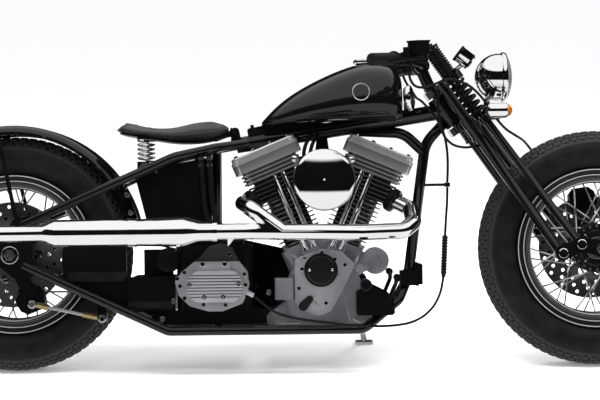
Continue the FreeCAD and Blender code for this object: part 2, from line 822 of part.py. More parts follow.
def on_bar(shape):
    """Place a shape on the right bar end: x inward along it, y to the rear and z up."""
    tip = V(BAR_TIP_X, -BAR_TIP_Y, BAR_TIP_Z)
    inward = V(BAR_BEND_X, -BAR_BEND_Y, BAR_BEND_Z).sub(tip).normalize()
    back = V(0, 0, 1).cross(inward)
    return placed(shape, FreeCAD.Placement(tip, FreeCAD.Rotation(inward, back, V(0, 0, 1), "XZY")))


def grip():
    """Right rubber grip with a flange at its inner end and a closed outer end."""
    sleeve = turned([
        (-8, 0),
        (-8, GRIP_RADIUS - 3),
        (-5, GRIP_RADIUS),
        (98, GRIP_RADIUS),
        (98, GRIP_RADIUS + 4),
        (103, GRIP_RADIUS + 4),
        (103, 0),
    ], (0, 0, 0), (1, 0, 0))
    return cut(on_bar(sleeve), [handlebar_tube()])


def hand_control(reservoir):
    """Right switch housing, lever perch and lever, with the brake fluid reservoir if asked."""
    x, y, z = MIRROR_HOLE_TOP
    pieces = [
        moved(rounded_block(22, 20, -18, 15, 7), 127, -1, 0),
        turned([(148, 0), (148, 18), (206, 18), (206, 0)], (0, 0, 0), (1, 0, 0)),
        moved(rounded_block(20, 16, -10, 10, 5), 182, -30, 0),
        Part.makeCylinder(9, 24, V(x, y, z - 24)),
        tube([(186, -38, 0), (146, -66, -2), (-4, -58, -6)], 5, 24),
        Part.makeSphere(7.5, V(-6, -58, -6)),
    ]
    if reservoir:
        pieces.append(moved(rounded_block(30, 19, 8, 42, 7), 190, -24, 0))
        pieces.append(moved(rounded_block(32, 21, 42, 47, 7), 190, -24, 0))
    tapped = Part.makeCylinder(MIRROR_HOLE_RADIUS, MIRROR_HOLE_DEPTH + 1, V(x, y, z - MIRROR_HOLE_DEPTH))
    return biggest(cut(on_bar(fused(pieces)), [handlebar_tube(), on_bar(tapped)]))


def speedometer():
    """Small round instrument facing the rider on a bent strap."""
    can = turned([
        (0, 0),
        (0, 19),
        (-2, 20),
        (-2, 24),
        (3, 24),
        (5, 23),
        (40, 23),
        (46, 18),
        (46, 0),
    ], (1242, 0, 874), (36, 0, -28))
    stalk = rod((1262, 0, 850), fork_point(PERCH_HIGH + 2, 34, 0), 6)
    strap = on_fork(box(6, 44, -12, 12, PERCH_HIGH, PERCH_HIGH + 5))
    return cut(fused([can, stalk, strap]), [rigid_fork()])


LAMP_X = 1371.0
LAMP_Z = 805.0
SIGNAL_X = 1308.0
SIGNAL_Y = 118.0
SIGNAL_Z = 707.0


def headlamp():
    """Chrome bullet shell with its rim, on an arm from the spring fork's cross member."""
    shell = turned([
        (0, 0),
        (0, 66),
        (3, 67),
        (-2, 70),
        (-9, 70),
        (-13, 66),
        dome(-13, 66, -84),
    ], (LAMP_X, 0, LAMP_Z), (1, 0, 0))
    stem = rod((LAMP_X - 45, 0, LAMP_Z - 40), (1322, 0, 738), 9)
    arm = rod((1322, 0, 742), fork_point(CROWN_LOW - 10, 50, 0), 9)
    return cut(fused([shell, stem, arm]), [spring_fork()])


def headlamp_lens():
    return turned([(0, 0), (0, 62), (5, 62), dome(5, 62, 19)], (LAMP_X, 0, LAMP_Z), (1, 0, 0))


def turn_signal():
    """Right chrome bullet signal beside the cross member."""
    body = turned([
        (-4, 0),
        (-4, 8),
        (2, 17),
        (8, 20.5),
        (50, 21),
        (55, 19),
        (55, 0),
    ], (SIGNAL_X, -SIGNAL_Y, SIGNAL_Z), (1, 0, 0))
    stalk = rod((SIGNAL_X + 8, -92, 698), (SIGNAL_X + 14, -106, 706), 6)
    return biggest(cut(fused([body, stalk]), [spring_fork(), rigid_fork()]))


def turn_signal_lens():
    profile = [(55, 0), (55, 17), dome(55, 17, 69)]
    return turned(profile, (SIGNAL_X, -SIGNAL_Y, SIGNAL_Z), (1, 0, 0))


def caliper():
    """A two-part caliper body about the left disc's edge, drawn above the wheel's centre."""
    outline = [(-40, 122), (-36, 154), (-20, 170), (20, 170), (36, 154), (40, 122), (20, 104), (-20, 104)]
    body = soft_plate(outline, 56, 98, 6)
    room = turned([(DISC_INNER_Y - 5, 0), (DISC_INNER_Y - 5, DISC_RADIUS + 4),
                   (DISC_OUTER_Y + 5, DISC_RADIUS + 4), (DISC_OUTER_Y + 5, 0)])
    caps = []
    for x in (-18, 18):
        caps.append(cross_rod(x, 128, 98, 101, 13))
    return fused([cut(body, [room])] + caps)


def tilted(shape, angle):
    """Turn a shape forward about the wheel's centre."""
    shape = shape.copy()
    shape.rotate(V(0, 0, 0), V(0, 1, 0), angle)
    return shape


def front_caliper():
    """On the left, gripping the disc near its top, on a bracket from the axle."""
    bracket = soft_plate([(-26, -18), (-34, 122), (34, 122), (24, -18)], 84, 91, 8)
    body = at_front(tilted(fused([caliper(), bracket]), -9))
    spacer = cross_rod(WHEEL_BASE, WHEEL_Z, 84, ROCKER_Y - 5.5, 17)
    gone = [axle_tool(WHEEL_BASE), mirrored(leg_eye(SPRING_PIVOT_X, SPRING_PIVOT_Z, 18.5))]
    return biggest(cut(fused([body, spacer]), gone))


# Tank, saddle and fender


def tank_section(x, z0, z1, half_width):
    """A tank section: widest low down, domed above."""
    height = z1 - z0
    shares = [(0.72, 0.015), (0.985, 0.2), (0.95, 0.52), (0.66, 0.84)]
    right = [V(x, half_width * across, z0 + height * up) for across, up in shares]
    left = [V(x, -half_width * across, z0 + height * up) for across, up in reversed(shares)]
    return ring_section([V(x, 0, z0)] + right + [V(x, 0, z1)] + left)


def fuel_tank():
    """Teardrop tank over the backbone, its tunnel open below."""
    sections = [
        tank_section(690, 675, 686, 34),
        tank_section(712, 674, 710, 52),
        tank_section(755, 677, 748, 74),
        tank_section(825, 683, 791, 98),
        tank_section(910, 688, 829, 116),
        tank_section(985, 689, 848, 124),
        tank_section(1036, 688, 845, 120),
        tank_section(1062, 687, 831, 108),
        tank_section(1077, 688, 808, 92),
    ]
    tank = Part.makeLoft(sections, True, False)
    room = BACKBONE_RADIUS + 5
    start = fork_point(500, -STEERING_SET_BACK, 0)
    fall = math.degrees(math.atan2(start[2] - BACKBONE_END_Z, start[0] - BACKBONE_END_X))
    slot = Part.makeBox(700, 2 * room, 70, V(0, -room, -70))
    turn = FreeCAD.Rotation(V(0, 1, 0), -fall)
    slot = placed(slot, FreeCAD.Placement(V(BACKBONE_END_X, 0, BACKBONE_END_Z), turn))
    return cut(tank, [backbone_tube(room), slot])


def tank_mounts():
    """Rubber blocks between the backbone and the tank's tunnel."""
    blocks = []
    for x in (760, 1040):
        block = box(x - 18, x + 18, -12, 12, 660, 760).common(backbone_tube(BACKBONE_RADIUS + 4.7))
        halves = cut(block, [backbone_tube(BACKBONE_RADIUS)]).Solids
        blocks.append(max(halves, key=lambda half: half.CenterOfMass.z))
    return blocks


def tank_cap():
    """Low screw cap on a short neck on the tank's ridge."""
    cap = turned([(-16, 0), (-16, 22), (0, 22), (0, 30), (8, 30), (12, 26), (12, 0)], (978, 0, 846), (0, 0, 1))
    return biggest(cut(cap, [fuel_tank()]))


def saddle_section(x, z0, z1, half_width):
    middle = (z0 + z1) / 2
    half_height = (z1 - z0) / 2
    points = []
    for step in range(12):
        angle = 2 * math.pi * step / 12
        y = half_width * math.copysign(abs(math.cos(angle)) ** 0.7, math.cos(angle))
        z = middle + half_height * math.copysign(abs(math.sin(angle)) ** 0.8, math.sin(angle))
        points.append(V(x, y, z))
    return ring_section(points)


SADDLE_SIZES = [
    (283, 664, 671, 62),
    (300, 660, 681, 96),
    (345, 651, 678, 124),
    (400, 642, 668, 122),
    (450, 635, 671, 96),
    (505, 634, 683, 60),
    (560, 642, 688, 38),
    (590, 656, 684, 26),
    (601, 664, 676, 12),
]


def saddle():
    """The saddle's form, narrow in front and wide behind."""
    return Part.makeLoft([saddle_section(*size) for size in SADDLE_SIZES], True, False)


def seat_base():
    """Pressed pan under the leather, with its nose bracket and the springs' upper cups."""
    sections = []
    for x, z0, z1, half in SADDLE_SIZES[1:-1]:
        sections.append(saddle_section(x, z0 - 5.8, z0 - 0.8, 0.84 * half))
    pan = Part.makeLoft(sections, True, False)
    tongue = soft_plate([(556, 632), (560, 655), (604, 672), (622, 666), (618, 650), (592, 645)], -10.7, 10.7, 4)
    pieces = [pan, biggest(cut(tongue, [saddle()]))]
    for side in (-1, 1):
        y = side * SADDLE_SPRING_Y
        pieces.append(rod((SADDLE_SPRING_X, y, 639), (SADDLE_SPRING_X, y, 646), 17))
    return biggest(cut(fused(pieces), [saddle(), saddle_pin(SADDLE_PIN_RADIUS + FIT)]))


def saddle_pin(radius):
    """The bolt that the saddle's nose turns on."""
    return cross_rod(SADDLE_PIN_X, SADDLE_PIN_Z, -22, 22, radius)


def seat_springs():
    """Two coil springs from the stays to the pan, and the pivot bolt."""
    springs = []
    gap = REBOUND_WIRE + FIT
    for side in (-1, 1):
        y = side * SADDLE_SPRING_Y
        low = (SADDLE_SPRING_X, y, PERCH_TOP + gap)
        high = (SADDLE_SPRING_X, y, 639 - gap)
        springs.append(coil(low, high, 13.5, REBOUND_WIRE, 4.5))
    return group(springs + [saddle_pin(SADDLE_PIN_RADIUS)])


def rear_fender():
    """A round-topped fender close over the rear tyre, open below."""
    outer = FENDER_RADIUS
    inner = outer - 3
    ring = turned([
        (-82, outer - 27),
        (-82, outer - 18),
        (-68.4, outer - 4.8, -50, outer),
        (50, outer),
        (68.4, outer - 4.8, 82, outer - 18),
        (82, outer - 27),
        (79, outer - 27),
        (79, outer - 18),
        (66.3, inner - 4, 50, inner),
        (-50, inner),
        (-66.3, inner - 4, -79, outer - 18),
        (-79, outer - 27),
    ])
    front = (600 * math.cos(math.radians(12)), 600 * math.sin(math.radians(12)))
    back = (-600 * math.cos(math.radians(14)), 600 * math.sin(math.radians(14)))
    keep = plate([(0, 0), front, (600, 700), (-600, 700), back], -100, 100)
    return at_rear(ring.common(keep))


TAIL_LAMP_ANGLE = 146.0


def on_tail(profile):
    """Spin a profile about a line that stands on the fender's back."""
    turn = math.radians(TAIL_LAMP_ANGLE)
    reach = FENDER_RADIUS - 2
    start = (reach * math.cos(turn), 0, WHEEL_Z + reach * math.sin(turn))
    return turned(profile, start, (math.cos(turn), 0, math.sin(turn)))


def tail_lamp():
    """Small round lamp low on the back of the fender."""
    return biggest(cut(on_tail([(0, 0), (0, 20), (12, 30), (24, 33), (32, 33), (32, 0)]), [rear_fender()]))


def tail_lamp_lens():
    return on_tail([(32, 0), (32, 30), (35, 30), dome(35, 30, 43)])


# Engine

CAM_X = 849.0
CAM_Z = 276.0
CAM_COVER_Y = -118.0


def crankcase():
    """Round flywheel case with cylinder decks, tappet blocks, oil pump and mounting feet."""
    pieces = [cross_rod(CRANK_X, CRANK_Z, -86, 84, CRANKCASE_RADIUS)]
    pieces.append(cross_rod(CRANK_X, CRANK_Z, 80, PRIMARY_INNER_Y, 58))
    for side in (-1, 1):
        pieces.append(on_cylinder(rounded_block(66, 62, 20, DECK_HEIGHT - 6, 20), side))
        pieces.append(on_cylinder(rounded_block(58, 58, DECK_HEIGHT - 8, DECK_HEIGHT, 16), side))
        tappets = moved(rounded_block(24, 18, 70, 126, 6), -side * 13, -88, 0)
        pieces.append(on_cylinder(tappets, side))
    pieces.append(moved(rounded_block(27, 22, 195, 254, 8), 749, -88, 0))
    pieces.append(soft_plate([(700, 124), (700, 150), (770, 200), (860, 124)], -55, 55, 6))
    pieces.append(soft_plate([(860, 124), (930, 200), (1004, 160), (1010, 136), (960, 124)], -55, 55, 6))
    pieces.append(rod((930, -66, 262), (988, -84, 296), 15))
    return cut(fused(pieces), [cross_rod(985, RAIL_Z + 14, -RAIL_Y, RAIL_Y, 9)])


def cam_cover():
    """Nose-shaped cover on the right of the crankcase with a round boss for the points."""
    outline = [(778, 192), (778, 306), (806, 318), (852, 334), (905, 326), (943, 291), (905, 215),
               (874, 162), (839, 150), (790, 172)]
    face = [(787, 200), (787, 300), (852, 322), (902, 316), (930, 286), (867, 172), (838, 162), (800, 178)]
    cover = soft_plate(outline, CAM_COVER_Y, -86, 12)
    step = soft_plate(face, CAM_COVER_Y - 5, CAM_COVER_Y, 10)
    boss = cross_rod(CAM_X, CAM_Z, CAM_COVER_Y - 9, CAM_COVER_Y, 46)
    return biggest(cut(fused([cover, step, boss]), [crankcase(), points_cover()]))


def points_cover():
    """Round black points cover and the small breather cover below it."""
    disc = turned([(0, 0), (0, 40), (6, 40), (9, 36), (9, 0)], (CAM_X, CAM_COVER_Y - 6, CAM_Z), (0, -1, 0))
    small = link(800, 178, 13, 818, 198, 9, CAM_COVER_Y - 12, CAM_COVER_Y - 2)
    return group([disc, small])


def pushrod_tubes(radius):
    """Two tubes beside each cylinder from its tappets to its rocker box."""
    tubes = []
    for side in (-1, 1):
        for offset in (0, 26):
            start = cylinder_point(side, 126, -side * offset, -92)
            end = cylinder_point(side, ROCKER_BOX_HEIGHT, -side * offset, -56)
            tubes.append(rod(start, end, radius))
    return Part.makeCompound(tubes)


def pushrods():
    """The tubes with their collars, trimmed to the tappet blocks and the rocker boxes."""
    pieces = []
    for side in (-1, 1):
        for offset in (0, 26):
            start = V(*cylinder_point(side, 126, -side * offset, -92))
            end = V(*cylinder_point(side, ROCKER_BOX_HEIGHT, -side * offset, -56))
            run = end.sub(start)
            length = run.Length
            profile = [(0, 0), (0, 10), (8, 10), (8, 8), (110, 8), (110, 9.5), (124, 9.5), (124, 7),
                       (length, 7), (length, 0)]
            solid = turned(profile, tuple(start), tuple(run))
            pieces.append(biggest(cut(solid, [crankcase(), rocker_box(side)])))
    return group(pieces)


def cylinder(side):
    """A barrel with round cooling fins."""
    pieces = [Part.makeCylinder(48, HEAD_HEIGHT - DECK_HEIGHT, V(0, 0, DECK_HEIGHT))]
    count = 11
    pitch = (HEAD_HEIGHT - DECK_HEIGHT) / count
    for number in range(count):
        low = DECK_HEIGHT + pitch * (number + 0.4)
        pieces.append(Part.makeCylinder(CYLINDER_FIN_RADIUS, 3.8, V(0, 0, low)))
    return biggest(cut(on_cylinder(fused(pieces), side), [pushrod_tubes(PUSHROD_RADIUS + 1)]))


def cylinder_head(side):
    """A head with flat cooling fins, its exhaust port and its inlet."""
    pieces = [rounded_block(62, 54, HEAD_HEIGHT, ROCKER_BOX_HEIGHT, 20)]
    for number in range(5):
        low = HEAD_HEIGHT + 1 + 12.2 * number
        pieces.append(rounded_block(80, 68, low, low + 4, 24))
    port = rod(cylinder_point(side, 322, side * 30, -20), exhaust_port(side), HEADER_RADIUS + 3)
    whole = fused([on_cylinder(fused(pieces), side), port])
    return biggest(cut(whole, [pushrod_tubes(PUSHROD_RADIUS + 1), exhaust_headers()]))


def exhaust_port(side):
    """Where a header pipe leaves its head, on the outer face to the right."""
    return cylinder_point(side, 306, side * 88, -46)


def rocker_box(side):
    """Ribbed rocker base and its smooth stepped cover."""
    pieces = [rounded_block(80, 62, ROCKER_BOX_HEIGHT, 390, 20)]
    for low in (354, 365, 376):
        pieces.append(rounded_block(86, 67, low, low + 5, 22))
    pieces.append(rounded_block(98, 66, 388, 424, 18))
    pieces.append(rounded_block(94, 61, 423, 437, 16, 5))
    whole = on_cylinder(fused(pieces), side)
    return biggest(cut(whole, [backbone_tube(BACKBONE_RADIUS + 3), frame_downtube_room()]))


def frame_downtube_room():
    """The brace's run with room around it."""
    return tube([(1140, 0, 600), (1085, 0, 652), (930, 0, 660)], FRAME_TUBE_RADIUS + 3, 70)


CARB_X = 860.0
CARB_Z = 522.0
AIR_CLEANER_Y = -150.0


def carburettor():
    """Carburettor on its inlet manifold, between the heads."""
    pieces = [
        moved(rounded_block(28, 38, 488, 556, 10), CARB_X, -98, 0),
        cross_rod(CARB_X, CARB_Z, AIR_CLEANER_Y, 0, 24),
        rod((CARB_X, -98, 462), (CARB_X, -98, 490), 22),
    ]
    for side in (-1, 1):
        pieces.append(rod((CARB_X, 0, CARB_Z), cylinder_point(side, 322, -side * 60, 0), 19))
    heads = [on_cylinder(rounded_block(80.2, 68.2, HEAD_HEIGHT, ROCKER_BOX_HEIGHT, 24), side) for side in (-1, 1)]
    boxes = [on_cylinder(rounded_block(98.2, 67.2, ROCKER_BOX_HEIGHT, 437, 18), side) for side in (-1, 1)]
    return biggest(cut(fused(pieces), heads + boxes))


def air_cleaner():
    """Round domed cover on its backplate, right of the carburettor."""
    return turned([
        (0, 0),
        (0, 76),
        (5, 84),
        (32, 84),
        (38, 80),
        dome(38, 80, 52),
    ], (CARB_X, AIR_CLEANER_Y, CARB_Z), (0, -1, 0))


def top_mount():
    """Bracket that ties the two rocker boxes to the backbone."""
    web = soft_plate([(836, 585), (842, 640), (872, 640), (880, 585)], -14, 14, 4)
    gone = [backbone_tube(BACKBONE_RADIUS), rocker_box(1), rocker_box(-1)]
    return biggest(cut(fused([web, box(770, 936, -14, 14, 575, 590)]), gone))


def oil_filter():
    """Spin-on filter ahead of the crankcase."""
    can = turned([
        (-20, 0),
        (-20, 30),
        (-14, 36.5),
        (38, 36.5),
        (44, 33),
        (44, 18),
        (40, 15),
        (40, 0),
    ], (998, -92, 300), (0, -1, 0))
    return cut(can, [crankcase()])


# Exhaust

SOCKET_X = 570.0


def front_header():
    return tube([
        exhaust_port(1),
        (1098, -78, 440),
        (1102, -150, 404),
        (1072, EXHAUST_Y, 382),
        (960, EXHAUST_Y, 379),
        (640, EXHAUST_Y, MUFFLER_Z),
        (SOCKET_X - 32, EXHAUST_Y, MUFFLER_Z),
    ], HEADER_RADIUS, 26)


def rear_header():
    return tube([
        exhaust_port(-1),
        (636, -104, 460),
        (664, EXHAUST_Y, 444),
        (744, EXHAUST_Y, 384),
    ], HEADER_RADIUS, 28)


def exhaust_headers():
    """Two header pipes that join ahead of the muffler, with the tab that holds them."""
    tab = fused([box(598, 614, -192, -180, 344, 366), box(598, 614, -182, -134, 344, 352)])
    return fused([front_header(), rear_header(), tab])


def muffler():
    """Long muffler with its cones, a clamp band, its socket, tail pipe and hanger."""
    body = turned([
        (-520, 0),
        (-520, 19),
        (-640, 19),
        (-640, 22),
        (-472, 22),
        (-450, 33),
        (-438, MUFFLER_RADIUS - 1.5),
        (-238, MUFFLER_RADIUS - 1.5),
        (-238, MUFFLER_RADIUS + 0.5),
        (-216, MUFFLER_RADIUS + 0.5),
        (-216, MUFFLER_RADIUS - 1.5),
        (-92, MUFFLER_RADIUS + 1),
        (-50, 26),
        (-12, 25.5),
        (-12, 27.5),
        (0, 27.5),
        (0, HEADER_RADIUS + 0.3),
        (-34, HEADER_RADIUS + 0.3),
        (-34, 0),
    ], (SOCKET_X, EXHAUST_Y, MUFFLER_Z), (1, 0, 0))
    hanger = fused([box(459, 469, -192, -90, 330, 337), box(459, 469, -192, -180, 330, 352)])
    return fused([body, hanger])


# Gearbox, primary drive and belt


def transmission():
    """Gearbox case with its top lid, its foot and the sprocket for the belt."""
    pieces = [
        moved(rounded_block(104, 78, 165, 345, 22), 556, -12, 0),
        moved(rounded_block(80, 58, 345, 357, 16, 4), 556, -12, 0),
        box(500, 640, -50, 50, RAIL_Z + 12, 170),
        cross_rod(CLUTCH_X, CLUTCH_Z, 60, PRIMARY_INNER_Y, 24),
        cross_rod(CLUTCH_X, CLUTCH_Z, BELT_Y, BELT_Y + BELT_WIDTH, SPROCKET_RADIUS),
    ]
    post = rod((SEAT_POST_X, 0, RAIL_Z), (SEAT_POST_X, 0, 640), 14.3)
    return biggest(cut(fused(pieces), [post]))


def transmission_cover():
    """Cast side cover with a grooved oval pad, a top lug and the clutch cable's ferrule."""
    outline = [(450, 250), (460, 212), (490, 182), (542, 167), (580, 167), (635, 188), (653, 237), (648, 275),
               (628, 300), (606, 342), (579, 353), (545, 345), (519, 315), (470, 276)]
    pad_outline = [(484, 212), (484, 256), (508, 278), (612, 278), (634, 256), (634, 212), (612, 192), (508, 192)]
    cover = soft_plate(outline, -134, -89, 10)
    lug = soft_plate([(514, 268), (514, 302), (604, 302), (604, 268)], -140, -130, 8)
    pad = soft_plate(pad_outline, -144, -132, 12)
    grooves = [box(480, 640, -146, -140, 205 + 8.4 * number, 208 + 8.4 * number) for number in range(8)]
    ferrule = rod((640, -122, 222), (664, -122, 208), 7)
    whole = fused([cover, lug, cut(pad, grooves), ferrule])
    return biggest(cut(whole, [moved(rounded_block(104, 78, 165, 345, 22), 556, -12, 0)]))


def primary_cover():
    """Long cover over the primary drive with a round clutch cover and a front cover."""
    y0, y1 = PRIMARY_INNER_Y, PRIMARY_OUTER_Y
    front_z = CRANK_Z + 6
    case = link(CRANK_X, front_z, 84, CLUTCH_X, CLUTCH_Z, 114, y0, y1 - 14)
    face = link(CRANK_X, front_z, 76, CLUTCH_X, CLUTCH_Z, 106, y1 - 15, y1)
    clutch = cross_rod(CLUTCH_X, CLUTCH_Z, y1, y1 + 8, 66)
    nose = cross_rod(CRANK_X, front_z, y1, y1 + 6, 40)
    return cut(fused([case, face, clutch, nose]), [rail(1)])


def drive_belt():
    """The belt as a plain loop around the two pulleys."""
    y0, y1 = BELT_Y + 2.6, BELT_Y + BELT_WIDTH - 0.6
    inner_rear = PULLEY_RADIUS + 0.5
    inner_front = SPROCKET_RADIUS + FIT
    outer = link(0, WHEEL_Z, inner_rear + BELT_THICKNESS, CLUTCH_X, CLUTCH_Z, inner_front + BELT_THICKNESS, y0, y1)
    inner = link(0, WHEEL_Z, inner_rear, CLUTCH_X, CLUTCH_Z, inner_front, y0 - 1, y1 + 1)
    return cut(outer, [inner])


# Oil tank and boxes


def oil_tank():
    """Oil tank under the saddle, hung on four lugs from the stays."""
    outline = [(345, 524), (360, 546), (452, 570), (547.7, 590), (547.7, 400), (376, 400)]
    pieces = [soft_plate(outline, -98, 98, 14)]
    for side in (-1, 1):
        pieces.append(rod((400, side * 90, 548), (400, side * 112, 563), 7))
        pieces.append(rod((512, side * 84, 574), (512, side * 94, 602), 7))
    return biggest(cut(fused(pieces), [stay(-1), stay(1), frame_crossbars()]))


def battery_box():
    """Battery tray on its crossbar behind the gearbox, with the taller electrics box on top."""
    low = moved(rounded_block(57, 78, 166, 262, 8), 391, -22, 0)
    high = box(362, 440, -70, -24, 260, 335)
    foot = box(378, 402, -40, 0, 136, 168)
    return cut(fused([low, high, foot]), [frame_crossbars()])


def regulator():
    """Finned voltage regulator on the foot of the downtube, with its connector block behind."""
    pieces = [box(1114, 1121, -50, 50, 226, 290), box(1068, 1116, -62, -22, 228, 270)]
    for number in range(8):
        y = -48 + 13 * number
        pieces.append(box(1120, 1132, y, y + 4, 230, 286))
    pieces.append(box(1106, 1116, -12, 12, 240, 276))
    return biggest(cut(fused(pieces), [frame_downtube(), rail(-1)]))


# Foot controls


def forward_control():
    """Right bracket with its peg and pedal."""
    y0, y1 = -RAIL_Y - 28, -RAIL_Y - 2
    peg = turned([
        (-6, 0),
        (-6, 10),
        (14, 10),
        (16, 15),
        (96, 15),
        (100, 12),
        (100, 0),
    ], (969, y0, 239), (0, -1, 0))
    pieces = [
        soft_plate([(944, 152), (944, 222), (1000, 224), (1046, 200), (1050, 152)], y0, y1, 10),
        box(988, 1032, -RAIL_Y - 4, -RAIL_Y + 22, 150, 172),
        rod((969, y0 + 8, 214), (969, y0 + 8, 240), 12),
        peg,
        cross_rod(1030, 190, y0 - 10, y0 + 6, 13),
        tube([(1030, y0 - 5, 190), (1052, y0 - 6, 240), (1052, y0 - 50, 256)], 6, 16),
        cross_rod(1052, 257, y0 - 92, y0 - 44, 10),
    ]
    return fused(pieces)


def forward_controls():
    right = cut(forward_control(), [rail(-1)])
    left = cut(mirrored(forward_control()), [rail(1)])
    return group([biggest(right), biggest(left)])


# Rear brake

BRAKE_STAY_Y = -102.0
BRAKE_STAY_END_X = 249.0
BRAKE_STAY_END_Z = 149.0
REAR_CALIPER_ANGLE = 158.0


def brake_stay_tab():
    return soft_plate([(236, 138), (236, 200), (262, 190), (262, 138)], -113, -107, 6)


def rear_caliper():
    """On the right, gripping the disc below, with the rod that stops it turning."""
    body = at_rear(tilted(mirrored(caliper()), REAR_CALIPER_ANGLE))
    pieces = [
        body,
        link(0, WHEEL_Z, 24, 57, 190, 11, -97, -90),
        cross_rod(57, 190, -106, -90, 11),
        cross_rod(BRAKE_STAY_END_X, BRAKE_STAY_END_Z, BRAKE_STAY_Y - 5, BRAKE_STAY_Y + 5, 10),
        rod((57, BRAKE_STAY_Y, 190), (BRAKE_STAY_END_X, BRAKE_STAY_Y, BRAKE_STAY_END_Z), 4.5),
        rod((198, BRAKE_STAY_Y, 159.9), (234, BRAKE_STAY_Y, 152.2), 7.5),
        rod((70, BRAKE_STAY_Y, 187.2), (100, BRAKE_STAY_Y, 180.8), 7.5),
        cross_rod(0, WHEEL_Z, -RAIL_Y + PLATE_HALF, -90, 18),
    ]
    return biggest(cut(fused(pieces), [cross_rod(0, WHEEL_Z, -200, 200, REAR_AXLE_RADIUS + FIT)]))


# Cables and hoses

BRAKE_HOSE = [
    (1096, -234, 834),
    (1087, -231, 795),
    (1105, -207, 768),
    (1135, -183, 767),
    (1166, -160, 779),
    (1194, -138, 793),
    (1228, -118, 791),
    (1264, -105, 776),
    (1294, -97, 748),
    (1317, -90, 716),
    (1338, -86, 684),
    (1362, -82, 657),
    (1390, -54, 642),
    (1410, -14, 634),
    (1426, 30, 628),
    (1446, 66, 610),
    (1474, 84, 578),
    (1508, 88, 544),
    (1536, 84, 514),
    (1554, 78, 488),
]
CROWN_LINE = [
    (1178, -107, 766),
    (1173, -115, 730),
    (1177, -116, 698),
    (1181, -115, 664),
    (1192, -112, 634),
    (1215, -108, 613),
    (1246, -104, 606),
    (1288, -100, 611),
]
CLUTCH_UPPER = [
    (1098, 234, 834),
    (1107, 216, 808),
    (1119, 178, 784),
    (1126, 130, 766),
    (1128, 80, 755),
    (1130, 28, 748),
    (1136, -22, 740),
    (1152, -56, 718),
    (1176, -68, 686),
    (1195, -66, 646),
    (1203, -58, 601),
    (1205, -50, 556),
    (1203, -46, 512.4),
]
CLUTCH_LOWER = [
    (1203, -46, 499.6),
    (1202, -46, 456),
    (1198, -47, 410),
    (1195, -49, 366),
    (1192, -51, 306),
    (1189, -53, 250),
    (1180, -60, 206),
    (1160, -76, 170),
    (1130, -96, 144),
    (1094, -118, 129),
    (1050, -134, 123),
    (1002, -141, 122),
    (950, -143, 124),
    (890, -143, 130),
    (830, -142, 138),
    (772, -141, 147),
    (722, -138, 162),
    (688, -131, 188),
    (665, -122.4, 207),
]
BOOT_TOP = (1195, -49, 366)
BOOT_LOW = (1189, -53, 250)


def fork_lines():
    """Front brake hose and the loop from the perch to the crown."""
    gone = [rigid_fork(), hand_control(True), front_caliper()]
    return group([biggest(cut(cable(BRAKE_HOSE), gone)), biggest(cut(cable(CROWN_LINE), gone))])


def clutch_cable_lower():
    """The cable below its clamp, with the bellows over its adjuster."""
    run = V(*BOOT_LOW).sub(V(*BOOT_TOP))
    profile = [(0, 0), (0, 6)]
    count = 13
    pitch = (run.Length - 12) / count
    for number in range(count):
        start = 2 + pitch * number
        profile.append((start + 1, 6.5))
        profile.append((start + 0.5 * pitch, 10))
        profile.append((start + pitch, 6.5))
    profile += [(run.Length, 5.5), (run.Length, 0)]
    boot = turned(profile, BOOT_TOP, tuple(run))
    return fused([cable(CLUTCH_LOWER), boot])


def clutch_cable_upper():
    """The cable from the clutch lever over the backbone to its clamp."""
    return biggest(cut(cable(CLUTCH_UPPER), [mirrored(hand_control(False))]))


# Side stand

STAND_PIVOT = V(966, 148, 112)
STAND_FOOT = V(979, 292, 49)
STAND_AXIS = V(0, 0.44, 0.897).normalize()
STAND_LEG_RADIUS = 8.5
STAND_PIN_RADIUS = 5.0


def stand_disc(low, high, radius):
    """A disc about the stand's hinge."""
    return Part.makeCylinder(radius, high - low, STAND_PIVOT.add(V(STAND_AXIS).multiply(low)), STAND_AXIS)


def side_stand():
    """Leg and foot, drawn swung out. The sole is level once the bike leans."""
    leg = rod(tuple(STAND_PIVOT), tuple(STAND_FOOT), STAND_LEG_RADIUS)
    sole_height = (STAND_FOOT.y * math.sin(LEAN) - lean_lift()) / math.cos(LEAN)
    pad = rounded_block(26, 17, -8, 0, 8)
    pad.rotate(V(0, 0, 0), V(1, 0, 0), LEAN_ANGLE)
    pad.translate(V(STAND_FOOT.x, STAND_FOOT.y, sole_height + 8))
    eye = stand_disc(-STAND_LEG_RADIUS, STAND_LEG_RADIUS, 14)
    return cut(fused([leg, eye, pad]), [stand_disc(-30, 30, STAND_PIN_RADIUS + 0.2)])


def stand_bracket():
    """Two ears with the hinge pin, joined to the left rail."""
    pieces = [stand_disc(-17, 17, STAND_PIN_RADIUS)]
    for low, high in ((9.2, 15), (-15, -9.2)):
        arm = Part.makeBox(28, 34, high - low, V(-14, -34, low))
        pieces.append(stand_disc(low, high, 14))
        pieces.append(placed(arm, FreeCAD.Placement(STAND_PIVOT, FreeCAD.Rotation(V(0, 0, 1), STAND_AXIS))))
    pieces.append(box(STAND_PIVOT.x - 14, STAND_PIVOT.x + 14, 122, 131, 96, 130))
    return fused(pieces)


def lean_lift():
    """How far the leaned bike rises from standing on the round of its tyres."""
    return CROWN_RADIUS * (1 - math.cos(LEAN))


# The whole bike


